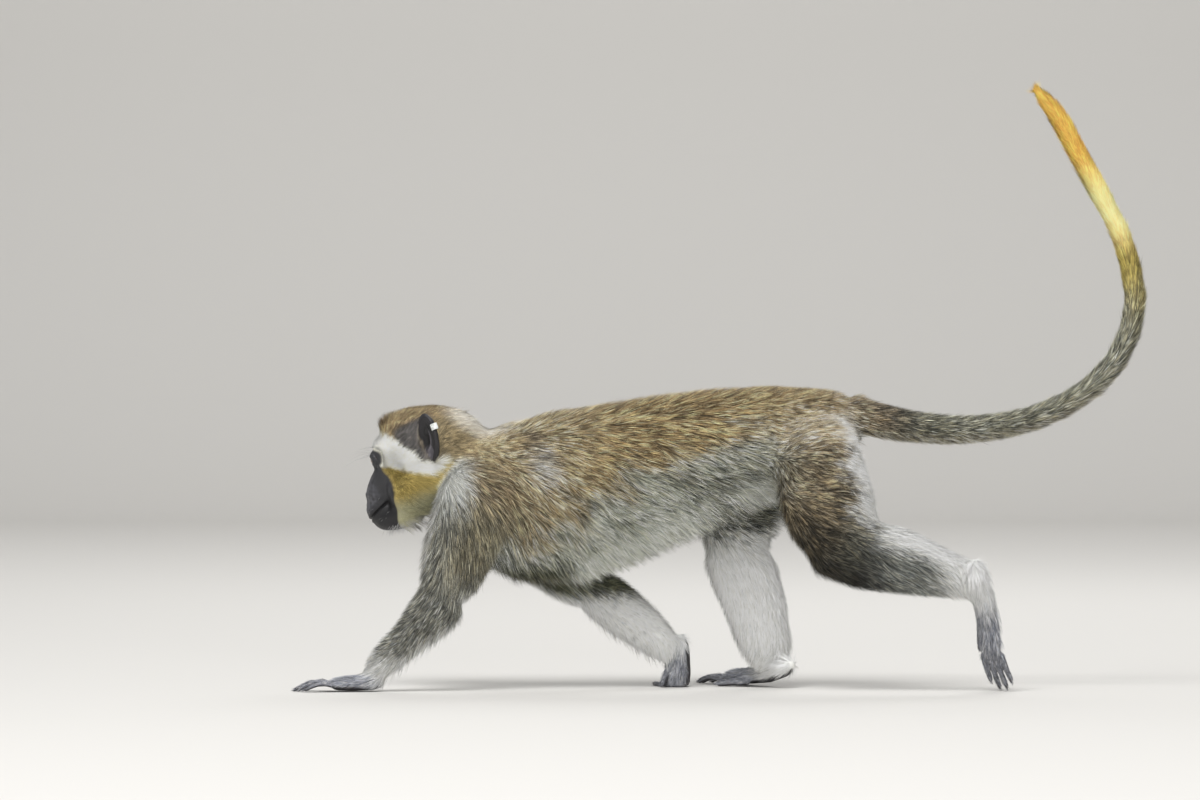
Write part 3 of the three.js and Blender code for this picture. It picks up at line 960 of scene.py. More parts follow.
    def gaze(self, side: int) -> tuple[np.ndarray, np.ndarray, np.ndarray]:
        """One eye's axes: where it looks, towards its outer corner, and up.

        Args:
            side: -1 for the left eye, 1 for the right.

        Returns:
            The three axes.
        """
        out, down = math.radians(self.eye.outward), math.radians(self.eye.down)
        look = self.axes.direction(math.cos(out) * math.cos(down), side * math.sin(out), -math.sin(down))
        across = unit(np.cross(self.axes.up, look) * side)
        if across @ self.axes.side * side < 0:
            across = -across
        upward = np.cross(across, look)
        if upward @ self.axes.up < 0:
            upward = -upward
        return look, across, upward

    def measure(self) -> None:
        """Reads what the coat and the markings need from the finished mesh."""
        self.points = vertices_of(self.mesh)
        self.normals = normals_of(self.mesh)
        self.links = Links(self.mesh)
        self.node = self.finder.owner(self.points)
        self.growth = self.growth_of[self.node]
        self.local = self.axes.local(self.points)
        self.on_head = np.isin(self.growth, self.head_growths())

    def dress(self, material: bpy.types.Material, colours: np.ndarray) -> None:
        """Paints the skin, unwraps it and hands it over in place of the flesh nodes.

        Args:
            material: the skin's material.
            colours: one linear colour for each vertex.
        """
        paint(self.mesh, colours)
        self.mesh.shade_smooth()
        piece = new_object("skin", self.mesh, material)
        unwrap(piece)
        hand_over(piece, Slot.SKIN, *self.flesh)


def unwrap(piece: bpy.types.Object) -> None:
    """Unfolds a mesh into the map that its colours are baked on.

    Args:
        piece: the object.
    """
    layer = piece.data.uv_layers.new(name=BAKE_MAP)
    piece.data.uv_layers.active = layer
    bpy.ops.object.select_all(action="DESELECT")
    bpy.context.view_layer.objects.active = piece
    piece.select_set(True)
    bpy.ops.object.mode_set(mode="EDIT")
    bpy.ops.mesh.select_all(action="SELECT")
    bpy.ops.uv.smart_project(angle_limit=UNFOLD_ANGLE, island_margin=ISLAND_GAP)
    bpy.ops.object.mode_set(mode="OBJECT")
    piece.select_set(False)


# ---------------------------------------------------------------- the markings

# Each line is a few points. The face's and the band's are in the head's axes in millimetres: the face's
# edge by height, the band's two edges by the way forward. The trunk's two lines are height by X.
FACE_EDGE = ((-60, 74), (-49, 67), (-37, 60), (-25, 51), (-16, 50), (-7, 53), (2, 57), (8, 58), (18, 57),
             (24, 58), (28, 62), (31, 68))
BAND_LOW = ((-12, -16), (-6, -18), (2, -21), (10, -22.5), (23, -14), (53, 5), (70, 9))
BAND_HIGH = ((-12, -13), (-6, -13.5), (0, -15), (12, -9), (16, 0.5), (28, 17), (38, 30), (54, 35), (70, 36))
BACK_EDGE = ((-260, 205), (-205, 160), (-175, 142), (-151, 168), (-112, 196), (-66, 212), (-21, 229),
             (37, 247), (80, 248), (140, 236))
BELLY_EDGE = ((-260, 150), (-155, 120), (-98, 148), (-21, 178), (37, 205), (80, 214), (140, 214))


def along(table: Sequence[tuple[float, float]], value: np.ndarray) -> np.ndarray:
    """Reads a line given by a few points, by its first column."""
    rows = np.array(table)
    return np.interp(value, rows[:, 0], rows[:, 1])


def bare_face(local: np.ndarray) -> np.ndarray:
    """Where the face has bare skin, from 0 to 1, for points in the head's axes in millimetres.

    Args:
        local: the points.

    Returns:
        The weights.
    """
    forward, side, up = local.T
    eyes_apart = np.linalg.norm(box_centre(EYE_NODES[0]) - box_centre(EYE_NODES[1])) / MM
    outward = np.abs(side) - eyes_apart / 2
    socket = np.hypot(outward / np.where(outward > 0, 10.2, 14), (up - 17) / np.where(up > 17, 9, 10.5))
    edge = along(FACE_EDGE, up)
    front = ease(-1.2, 1.2, forward - edge)
    return np.maximum(front, ease(1.12, 0.92, socket) * ease(46, 50, forward)) * ease(29, 25.5, up)


def short_haired(local: np.ndarray) -> np.ndarray:
    """How short the head's hair is, from 0 to 1 next to the bare face."""
    return ease(-16, 0, local[:, 0] - along(FACE_EDGE, local[:, 2])) * ease(40, 26, local[:, 2])


@dataclass
class Palette:
    """The coat's and skin's colours, as sRGB hex values."""

    back: str = "#8a7655"
    back_front: str = "#a08e6d"
    rump: str = "#c3ae8d"
    flank: str = "#a3a696"
    shoulder: str = "#796c57"
    mark: str = "#5b5245"
    patch: str = "#b3b1a8"
    flank_dark: str = "#606055"
    # Painted shade: the dark of the armpit, of the belly in front of the thigh and high on the limbs' inner
    # sides, where the body shades them.
    shade: str = "#3a3b2c"
    belly: str = "#c7cabc"
    nape: str = "#d3c9b8"
    neck: str = "#babbb3"
    crown: str = "#988464"
    behind_ear: str = "#82755a"
    forehead: str = "#54422b"
    band: str = "#f4f2e2"
    temple: str = "#5a5755"
    cheek: str = "#a28f53"
    cheek_pale: str = "#aba886"
    chin: str = "#d5d3cb"
    face: str = "#2e2e31"
    # Painted sheen: lighter, mottled skin on the top and front of the muzzle.
    nose: str = "#4f4f55"
    lips: str = "#131214"
    ear: str = "#201e21"
    # The next two: painted shade in the ear's hollow, and a painted highlight on its lobe and ridges.
    concha: str = "#0c0b0c"
    fold: str = "#6c686e"
    arm: str = "#76766e"
    arm_brown: str = "#6d6857"
    arm_pale: str = "#c3c1b8"
    thigh: str = "#6d624f"
    # The lower thigh's and the knee's dark: partly the hair's own colour, partly painted shade.
    thigh_low: str = "#484135"
    knee: str = "#211f1b"
    shank: str = "#70726d"
    white: str = "#ebebe6"
    hand: str = "#8f9198"
    palm: str = "#2e2c2e"
    tail_root: str = "#393732"
    tail: str = "#787768"
    tail_under: str = "#a39c88"
    gold: str = "#8e7e42"
    gold_high: str = "#d9a14c"
    gold_pale: str = "#f7d58b"
    # Painted shade on the downward faces at the groin and under the rump.
    groin: str = "#77604e"

    def colour(self, name: str) -> np.ndarray:
        """One of the colours in linear values."""
        return linear(getattr(self, name))


@dataclass
class Markings:
    """Works out the colour, the bareness and the lie of the hair at every vertex of the skin.

    Places are millimetres along X and Z, or along the head's own axes on the head. Facings are parts of
    the surface's normal, from -1 to 1. Each weight says where a colour starts and where it is full.
    """

    skin: Skin
    palette: Palette = field(default_factory=Palette)
    lay_rounds: int = 22
    streak_rounds: int = 9
    lean_rounds: int = 7

    def build(self) -> None:
        """Works out every value for the whole skin."""
        skin = self.skin
        self.trunk = self.of("chest", "abdomen", "pelvis", "neck")
        self.middle = box_centre("pelvis")[1]
        self.bare = self.bareness()
        self.reach = self.reach_to_digits()
        self.height = self.height_on_trunk()
        self.lay = self.lie_of_hair()
        first, second = np.random.default_rng(MARK_SEED).normal(size=(2, len(skin.points)))
        self.streak = skin.links.brush(first, skin.points, self.lay, self.streak_rounds)
        self.lean = skin.links.brush(second, skin.points, self.lay, self.lean_rounds)
        self.colours = self.coat_colours()
        for name, rounds in (("ticking", 12), ("length", 30), ("depth", 12), ("width", 8), ("density", 4)):
            setattr(self, name, skin.links.smooth(growth_values(name, skin.growth), rounds))
        self.ticking *= 1 - 0.6 * paleness(self.colours)
        self.length *= 1 + 0.5 * ease(0.5, 0, self.reach) * self.of("hand", "foot")
        self.tune_head()
        self.fringe = self.fringes()

    def of(self, *stems: str) -> np.ndarray:
        """Vertices whose growth's name starts with one of the stems."""
        return np.array([growth.name.startswith(stems) for growth in GROWTHS])[self.skin.growth]

    def tint(self, colour: str | np.ndarray) -> np.ndarray:
        """A colour of the palette, by its name, or colours as they are given."""
        return self.palette.colour(colour) if isinstance(colour, str) else colour

    def layered(self, base: str | np.ndarray, *layers: tuple[str | np.ndarray, np.ndarray]) -> np.ndarray:
        """Lays colours over a base, one after another.

        Args:
            base: a colour of the palette, or one colour for each vertex.
            layers: each colour, given in the same way, with its weight at each vertex.

        Returns:
            One colour for each vertex.
        """
        colours = self.tint(base)
        for colour, weight in layers:
            colours = mix(colours, self.tint(colour), weight)
        return colours

    def blend(self, chosen: np.ndarray, rounds: int) -> np.ndarray:
        """A soft-edged weight over chosen vertices."""
        return self.skin.links.smooth(chosen.astype(float), rounds)

    def inner(self) -> np.ndarray:
        """How far a limb's surface faces the animal's middle plane."""
        skin = self.skin
        return skin.normals[:, 1] * np.where(skin.points[:, 1] < self.middle, 1, -1)

    def bareness(self) -> np.ndarray:
        """Where no hair grows: the face, the ears' insides, the palms, the soles and the digits' pads.

        Returns:
            Weights from 0 to 1.
        """
        skin = self.skin
        bare = np.where(skin.on_head, bare_face(skin.local), 0)
        bare = np.maximum(bare, self.of("ears") * 0.9)
        for name, back in BACKS.items():
            stem, side = name.split("_")
            under = skin.normals @ -back
            bare = np.maximum(bare, self.of(name) * ease(0.4, 0.75, under))
            bare = np.maximum(bare, self.of(f"{stem}_digits_{side}") * ease(0.2, 0.6, under))
        return skin.links.smooth(bare, 1)

    def reach_to_digits(self) -> np.ndarray:
        """How far a point of a hand or foot lies from the wrist or ankle, 0, towards the knuckles, 1.

        Returns:
            The reach at each vertex.
        """
        skin = self.skin
        reach = self.of("hand_digits", "foot_digits").astype(float)
        for name in BACKS:
            stem, side = name.split("_")
            chosen = self.of(name)
            middle = "middle_finger" if stem == "hand" else "third_toe"
            ahead = skin.points[chosen] @ unit(box_centre(f"{middle}_{side}") - box_centre(name))
            reach[chosen] = (ahead - ahead.min()) / (ahead.max() - ahead.min())
        return reach

    def lie_of_hair(self) -> np.ndarray:
        """The direction in which the hair lies, along the surface.

        Returns:
            One direction for each vertex.
        """
        skin = self.skin
        lay = np.zeros((len(skin.points), 3))
        for index, growth in enumerate(GROWTHS):
            aim = np.array(growth.lay, float)
            if growth.toward:
                own = np.mean([box_centre(name) for name in growth.covers()], 0)
                aim += unit(box_centre(growth.toward) - own)
            lay[skin.growth == index] = unit(aim)
        self.trunk_lay(lay)
        shoulder = self.of("upper_arm") * ease(140, 200, skin.points[:, 2] / MM)
        lay += (unit(np.array((0.72, 0, -0.6))) - lay) * shoulder[:, None]
        self.head_lay(lay)
        self.tail_lay(lay)
        for _ in range(3):
            lay = skin.links.smooth(lay, self.lay_rounds)
            lay -= (lay * skin.normals).sum(1, keepdims=True) * skin.normals
            lay = unit(lay)
        return lay

    def trunk_lay(self, lay: np.ndarray) -> None:
        """Lays the trunk's hair back, and further down at the shoulder and towards the belly.

        Args:
            lay: the directions, changed in place.
        """
        x = self.skin.points[:, 0]
        low = 1 - np.clip(self.height, 0, 1)
        down = 0.16 + low * (0.4 + 0.75 * ease(0.02, -0.2, x)) + 0.35 * ease(-0.17, -0.25, x)
        lay[self.trunk] = unit(np.stack([np.ones_like(x), np.zeros_like(x), -down], 1))[self.trunk]

    def head_lay(self, lay: np.ndarray) -> None:
        """Sweeps the hair of the head back from the face, and down over the cheeks.

        Args:
            lay: the directions, changed in place.
        """
        forward, side, up = self.skin.local.T
        axes = self.skin.axes
        low = ease(5, -25, up)
        brow = ease(38, 50, forward) * ease(14, 26, up)
        sweep = (
            -axes.forward * (1 - 0.45 * low)[:, None]
            - axes.up * (0.75 * low - 0.5 * brow)[:, None]
            + axes.side * (0.35 * np.sign(side) * ease(5, 25, np.abs(side)))[:, None]
        )
        chosen = self.skin.on_head
        lay[chosen] = sweep[chosen]

    def tail_lay(self, lay: np.ndarray) -> None:
        """Lays the hair along the tail, from slices across each of its lengths.

        Args:
            lay: the directions, changed in place.
        """
        line = tail_line()
        chosen = self.of("tail")
        points = self.skin.points[chosen]
        nearest = np.argmin(((points[:, None] - line[None]) ** 2).sum(2), 1)
        heading = unit(np.gradient(line, axis=0))
        lay[chosen] = heading[nearest]

    def coat_colours(self) -> np.ndarray:
        """The colours of skin and coat.

        Returns:
            One colour for each vertex.
        """
        skin = self.skin
        # The ear's skin with a painted highlight on its lobe and ridges and painted shade in its hollow.
        ears = self.layered("ear", ("fold", skin.fold), ("concha", skin.concha))
        trunk, arm = self.trunk_colours(), self.arm_colours()
        parts = (
            (("upper_arm", "forearm"), mix(trunk, arm, ease(195, 165, skin.points[:, 2] / MM)), 40),
            (("forearm",), arm, 20),
            (("thigh",), self.thigh_colours(), 40),
            (("shank",), self.shank_colours(), 24),
            (("hand", "foot"), self.hand_colours(), 20),
            (("tail",), self.tail_colours(), 24),
            (("ears",), ears, 1),
        )
        layers = [(part, self.blend(self.of(*stems), rounds)) for stems, part, rounds in parts]
        return self.layered(trunk, *layers, (self.head_colours(), self.blend(skin.on_head, 3)))

    def trunk_colours(self) -> np.ndarray:
        """Golden brown above, streaky grey on the flank and white below, with painted shade at the groin, in
        the armpit, on the belly in front of the thigh and under the rump.

        Returns:
            One colour for each vertex.
        """
        skin = self.skin
        x, y, z = skin.points.T / MM
        facing_up = skin.normals[:, 2]
        ragged = 6 * self.streak + 6 * ripple(skin.points, 30 * MM, 3)
        front = ease(-150, -205, x)
        # Painted shade: downward faces at the groin, the armpit, the belly in front of the thigh, and under
        # the rump between the thighs.
        groin = ease(62, 78, x) * ease(120, 100, x) * ease(215, 195, z) * ease(0.2, -0.3, facing_up)
        armpit_shade = ease(-135, -165, x) * ease(142, 118, z)
        flap_shade = 0.7 * ease(-45, 0, x) * ease(192, 172, z)
        beneath_shade = ease(105, 120, x) * ease(-0.1, -0.6, facing_up) * ease(30, 15, np.abs(y))
        return self.layered(
            "back",
            ("back_front", ease(-90, -190, x)),
            ("rump", ease(85, 125, x) * ease(215, 240, z)),
            ("flank", ease(24, -22, z - along(BACK_EDGE, x) + 1.6 * ragged)),
            ("flank_dark", 0.8 * bump((x + 8) / 38, (z - 200) / 13)),
            ("belly", ease(16, -14, z - along(BELLY_EDGE, x) + 0.7 * ragged)),
            ("shoulder", 0.8 * front * ease(130, 170, z) * ease(235, 205, z)),
            ("nape", ease(-200, -235, x) * ease(236, 250, z)),
            ("neck", ease(-234, -252, x) * ease(228, 210, z)),
            ("mark", 0.8 * bump((x + 185) / 12, (z - 240 + 0.5 * (x + 185)) / 7)),
            ("patch", 0.85 * bump((x + 177) / 13, (z - 217 + 0.6 * (x + 177)) / 13)),
            ("belly", ease(-0.35, -0.85, facing_up) * ease(0.4, 0.2, self.height)),
            # The painted shade from above, laid over the coat.
            ("groin", 0.7 * groin),
            ("shade", np.maximum(armpit_shade, flap_shade)),
            ("groin", 0.5 * beneath_shade),
        )

    def arm_colours(self) -> np.ndarray:
        """Ticked grey outside, pale along the front and the rear edge, and white inside, with painted shade
        high on the inner side.

        Returns:
            One colour for each vertex.
        """
        z = self.skin.points[:, 2] / MM
        facing_back, _, facing_up = self.skin.normals.T
        high = ease(95, 135, z)
        return self.layered(
            "arm",
            ("arm_brown", high * ease(-0.45, 0.1, facing_back)),
            ("arm_pale", 0.85 * high * ease(-0.55, -0.85, facing_back)),
            ("white", 0.5 * ease(42, 24, z)),
            # The inner side: white below, painted shade above about 90 mm, where the body shades the arm.
            (self.layered("white", ("shade", ease(78, 98, z))), ease(-0.1, 0.5, self.inner())),
            ("white", 0.7 * (ease(-0.35, -0.8, facing_up) * (1 - high))),
        )

    def thigh_colours(self) -> np.ndarray:
        """Brown above and darker downwards to almost black at the knee, partly the hair's own colour and
        partly painted shade. The rear is white, and the inner side white below and painted shade higher up.

        Returns:
            One colour for each vertex.
        """
        skin = self.skin
        z = skin.points[:, 2] / MM
        return self.layered(
            "thigh",
            ("rump", ease(222, 248, z)),
            # Darker down to the knee: partly the hair's own colour, partly painted shade.
            ("thigh_low", ease(190, 150, z)),
            ("knee", ease(150, 118, z)),
            # The inner side: white below, painted shade higher up, where the body shades the thigh.
            (self.layered("white", ("shade", ease(126, 150, z))), ease(-0.15, 0.4, self.inner())),
            ("white", ease(0.2, 0.55, skin.normals[:, 0] + 0.12 * self.streak)),
        )

    def shank_colours(self) -> np.ndarray:
        """Dark next to the knee, in the knee's colour that is partly painted shade, grey outside, white above
        and inside.

        Returns:
            One colour for each vertex.
        """
        skin = self.skin
        x = skin.points[:, 0] / MM
        near = skin.points[:, 1] < self.middle
        above = ease(-0.05, 0.4, skin.normals[:, 2] + 0.1 * self.streak) * ease(118, 160, x) * near
        rear = ease(0.2, 0.6, skin.normals[:, 0]) * ~near
        return self.layered(
            # The knee's dark, partly painted shade, next to the knee.
            "knee",
            ("shank", ease(120, 170, x)),
            ("white", 0.9 * ease(190, 228, x)),
            ("white", np.maximum(ease(-0.15, 0.35, self.inner()), np.maximum(above, rear))),
        )

    def hand_colours(self) -> np.ndarray:
        """Grey-white hair on the backs of hands and feet, dark skin on palms, soles and fingertips.

        Returns:
            One colour for each vertex.
        """
        digits = self.blend(self.of("hand_digits", "foot_digits"), 2)
        hands = self.of("hand").astype(float)
        start, end = 0.15 - 0.35 * hands, 0.65 - 0.35 * hands
        grey = ease(0, 1, (self.reach - start) / (end - start))
        dark = np.maximum(ease(0.2, 0.7, self.bare), 0.35 * digits)
        return self.layered("white", ("hand", grey), ("palm", dark))

    def tail_colours(self) -> np.ndarray:
        """Dark grey-brown at the root, lighter along the sweep, golden where it rises, cream at the tip.

        Returns:
            One colour for each vertex.
        """
        skin = self.skin
        x, _, z = skin.points.T / MM
        gold = self.layered("gold", ("gold_pale", ease(405, 445, z)), ("gold_high", ease(462, 505, z)))
        return self.layered(
            "tail_root",
            ("tail", ease(145, 215, x)),
            ("tail_under", 0.7 * ease(-0.2, -0.9, skin.normals[:, 2])),
            (gold, ease(330, 415, z + 12 * self.streak * ease(0, 1, z))),
        )

    def height_on_trunk(self) -> np.ndarray:
        """How high a point lies between belly, 0, and back, 1, at its own place along the trunk.

        Returns:
            The height at each vertex.
        """
        skin = self.skin
        x, z = skin.points[:, 0], skin.points[:, 2]
        places = np.linspace(x[self.trunk].min(), x[self.trunk].max(), 24)
        cell = np.clip(np.searchsorted(places, x) - 1, 0, len(places) - 2)
        slices = [z[self.trunk & (cell == index)] for index in range(len(places) - 1)]
        middles = (places[1:] + places[:-1]) / 2
        high = np.interp(x, middles, [s.max() for s in slices])
        low = np.interp(x, middles, [s.min() for s in slices])
        return (z - low) / (high - low)

    def head_colours(self) -> np.ndarray:
        """The face's, cheeks', brow's and crown's colours, in the head's axes.

        Returns:
            One colour for each vertex.
        """
        skin = self.skin
        forward, _, up = skin.local.T
        streak = ripple(skin.points, 5 * MM, 5)
        high = along(BAND_HIGH, forward) + 1.5 * streak
        low = along(BAND_LOW, forward) + 1.0 * streak
        above = skin.above_mouth(skin.local)
        # Painted sheen on the top and front of the muzzle, mottled by the ripple.
        nose = ease(66, 82, forward) * ease(4, 10, above) * (0.75 + 0.5 * streak)
        mouth = np.maximum(bump(above / 3) * ease(60, 70, forward), 0.9 * ease(5, -3, above))
        return self.layered(
            "crown",
            ("forehead", ease(34, 46, forward) * ease(34, 42, up)),
            ("behind_ear", ease(4, -10, forward) * ease(34, 18, up)),
            ("nape", ease(-27, -42, forward - 0.5 * up)),
            ("temple", ease(36, 27, forward) * ease(-12, -2, forward) * ease(36, 27, up)),
            ("band", ease(2, -3, up - high) * ease(-12, -6, forward)),
            (
                self.layered("cheek", ("cheek_pale", ease(-26, -42, up))),
                ease(1.5, -2.5, up - low) * ease(-15, -8, forward),
            ),
            ("chin", ease(-48, -56, up)),
            ("neck", ease(-8, -16, forward) * ease(-14, -24, up)),
            # The bare face, with the painted sheen on the muzzle and the dark lips.
            (self.layered("face", ("nose", np.clip(nose, 0, 1)), ("lips", mouth)), bare_face(skin.local)),
        )

    def tune_head(self) -> None:
        """Makes the hair shortest next to the bare face and longest on the cheeks."""
        skin = self.skin
        forward, _, up = skin.local.T
        short = short_haired(skin.local) * skin.on_head
        self.length = self.length * (1 - 0.5 * short)
        self.depth = self.depth * (1 - 0.5 * short)
        cheek = ease(-5, -20, up) * ease(45, 25, forward) * skin.on_head
        forehead = ease(36, 44, forward) * ease(32, 38, up) * skin.on_head
        self.length = self.length * (1 + 0.3 * cheek + 0.5 * forehead)
        self.depth = self.depth * (1 + 0.9 * forehead)
        self.ticking *= (1 - 0.6 * cheek) * (1 + 0.6 * skin.on_head * ease(26, 36, up))

    def fringes(self) -> np.ndarray:
        """Where long wisps stand out: below the belly, behind the legs and elbows, and under the chin.

        Returns:
            How thickly the wisps stand at each vertex.
        """
        skin = self.skin
        x, _, z = skin.points.T / MM
        forward, _, up = skin.local.T
        across, down = skin.normals[:, 0], -skin.normals[:, 2]
        belly = self.trunk * ease(0.22, 0.05, self.height) * ease(0.1, 0.7, down) * ease(90, 70, x)
        rear = 1.8 * self.of("thigh", "shank") * ease(0.3, 0.75, across) * ease(20, 45, z)
        hock = 1.6 * self.of("shank") * ease(215, 245, x) * ease(0.2, 0.7, across - down)
        elbow = self.of("upper_arm") * ease(0.3, 0.8, across) * ease(60, 100, z) * 0.7
        under = self.of("forearm") * ease(0.3, 0.8, down) * 0.5
        chin = self.of("jaw", "head") * ease(-46, -54, up) * ease(20, 40, forward)
        tail = 0.4 * self.of("tail")
        heel = np.maximum(0.8 * ease(0, 0.6, across), 1.6 * ease(0.25, 0.1, self.reach))
        nape = 0.3 * self.of("neck", "head") * ease(-5, -20, forward) * ease(-12, 5, up)
        foot = self.of("foot_left") * heel
        everywhere = np.maximum.reduce([belly, rear, hock, elbow, under, 0.5 * chin, tail, nape, foot])
        return skin.links.smooth(everywhere, 3) * (1 - self.bare)


def tail_line() -> np.ndarray:
    """Points along the middle of the tail, from slices across each of its nodes.

    Returns:
        The points, one row each, from the root to the tip.
    """
    found = []
    centres = [box_centre(name) for name in TAIL_NODES]
    for index, name in enumerate(TAIL_NODES):
        points = vertices_of(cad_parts[name].data)
        ahead = centres[min(index + 1, len(centres) - 1)] - centres[max(index - 1, 0)]
        along_tail = points @ unit(ahead)
        cuts = np.linspace(along_tail.min(), along_tail.max(), 8)
        for low, high in zip(cuts[:-1], cuts[1:]):
            inside = points[(along_tail >= low) & (along_tail <= high)]
            if len(inside) > 5:
                found.append((inside.min(0) + inside.max(0)) / 2)
    return np.array(found)


# Which way the back of each hand and foot faces.
BACKS = {
    "hand_left": np.array((0, 0, 1.0)),
    "hand_right": unit(np.array((-0.9, 0, 0.35))),
    "foot_left": unit(np.array((-0.8, -0.5, 0.1))),
    "foot_right": np.array((0, 0, 1.0)),
}


# ---------------------------------------------------------------- the coat


@dataclass
class Roots:
    """Where the tufts of one piece grow, with what the skin says there."""

    point: np.ndarray
    normal: np.ndarray
    lay: np.ndarray
    colour: np.ndarray
    uv: np.ndarray
    owners: np.ndarray
    shares: np.ndarray

    @classmethod
    def of(
        cls, skin: Skin, marks: Markings, owners: np.ndarray, shares: np.ndarray, corner_uv: np.ndarray
    ) -> "Roots":
        """Reads the skin and its markings at the roots.

        Args:
            skin: the skin that they grow from.
            marks: its markings.
            owners: the three vertices round each root.
            shares: how near the root is to each of them, 1 in all.
            corner_uv: those vertices' places on the skin's map.

        Returns:
            The roots.
        """
        uv = np.einsum("nk,nkj->nj", shares, corner_uv)
        roots = cls(skin.points, skin.normals, marks.lay, marks.colours, uv, owners, shares)
        roots.point, roots.colour = roots.read(roots.point), roots.read(roots.colour)
        roots.normal = unit(roots.read(roots.normal))
        lay = roots.read(roots.lay)
        roots.lay = unit(lay - (lay * roots.normal).sum(1, keepdims=True) * roots.normal)
        return roots

    def read(self, values: np.ndarray) -> np.ndarray:
        """The vertices' values at the roots."""
        return np.einsum("nk,nk...->n...", self.shares, values[self.owners])


@dataclass
class Tufts:
    """Thin closed spikes with three sides, joined into one mesh.

    The path holds for each tuft the middle of each of its rings and, last, its tip.
    """

    path: np.ndarray
    across: np.ndarray
    normal: np.ndarray
    widths: np.ndarray
    colours: np.ndarray
    uv: np.ndarray
    roundness: float = 0.45
    ridge: float = 0.26

    def mesh(self, name: str) -> bpy.types.Mesh:
        """Builds the mesh, with its markings and its map.

        Args:
            name: the mesh's name.

        Returns:
            The new mesh.
        """
        count, places = self.path.shape[:2]
        rings = places - 1
        corners = 3 * rings + 1
        points = np.empty((count, corners, 3))
        normals = np.empty((count, corners, 3))
        heading = unit(self.path[:, -1] - self.path[:, 0])
        for ring in range(rings):
            half = self.across * (self.widths[:, ring] / 2)[:, None]
            lift = self.normal * (self.widths[:, ring] * self.ridge)[:, None]
            middle = self.path[:, ring]
            for corner, (aside, above) in enumerate(((-1, 0), (1, 0), (0, 1))):
                points[:, 3 * ring + corner] = middle + aside * half + above * lift
                normals[:, 3 * ring + corner] = self.normal + aside * self.roundness * self.across
        points[:, -1] = self.path[:, -1]
        normals[:, -1] = self.normal + 0.2 * heading
        flat = points.reshape(-1, 3)
        flat[:, 2] = np.maximum(flat[:, 2], FLOOR_CLEARANCE)
        pattern = self.pattern(rings)
        faces = (np.arange(count) * corners)[:, None, None] + pattern
        mesh = bpy.data.meshes.new(name)
        mesh.vertices.add(len(flat))
        mesh.vertices.foreach_set("co", flat.astype(np.float32).ravel())
        mesh.loops.add(faces.size)
        mesh.loops.foreach_set("vertex_index", faces.astype(np.int32).ravel())
        mesh.polygons.add(faces.size // 3)
        mesh.polygons.foreach_set("loop_start", np.arange(0, faces.size, 3, dtype=np.int32))
        mesh.update(calc_edges=True)
        mesh.validate()
        paint(mesh, np.repeat(self.colours, [3] * rings + [1], axis=1).reshape(-1, 3))
        rise = np.append(np.linspace(-0.5, 0.2, rings + 1)[:-1].repeat(3), 0.5)
        aside = np.append(np.tile((-0.45, 0.45, 0), rings), 0)
        patch = np.stack([aside, rise], 1) * TUFT_PATCH
        spread = self.uv[:, None, None] + patch[pattern][None]
        mesh.uv_layers.new(name=BAKE_MAP).data.foreach_set("uv", spread.astype(np.float32).ravel())
        mesh.shade_smooth()
        mesh.normals_split_custom_set_from_vertices(unit(normals.reshape(-1, 3)))
        return mesh

    @staticmethod
    def pattern(rings: int) -> np.ndarray:
        """The triangles of one tuft, by the numbers of its corners.

        Args:
            rings: how many rings a tuft has.

        Returns:
            The triangles, one row each.
        """
        faces = [(0, 2, 1)]
        sides_round = ((0, 1), (1, 2), (2, 0))
        for low in range(0, 3 * rings - 3, 3):
            for first, second in sides_round:
                faces.append((low + first, low + second, low + 3 + second))
                faces.append((low + first, low + 3 + second, low + 3 + first))
        last = 3 * (rings - 1)
        faces += [(last + first, last + second, 3 * rings) for first, second in sides_round]
        return np.array(faces)


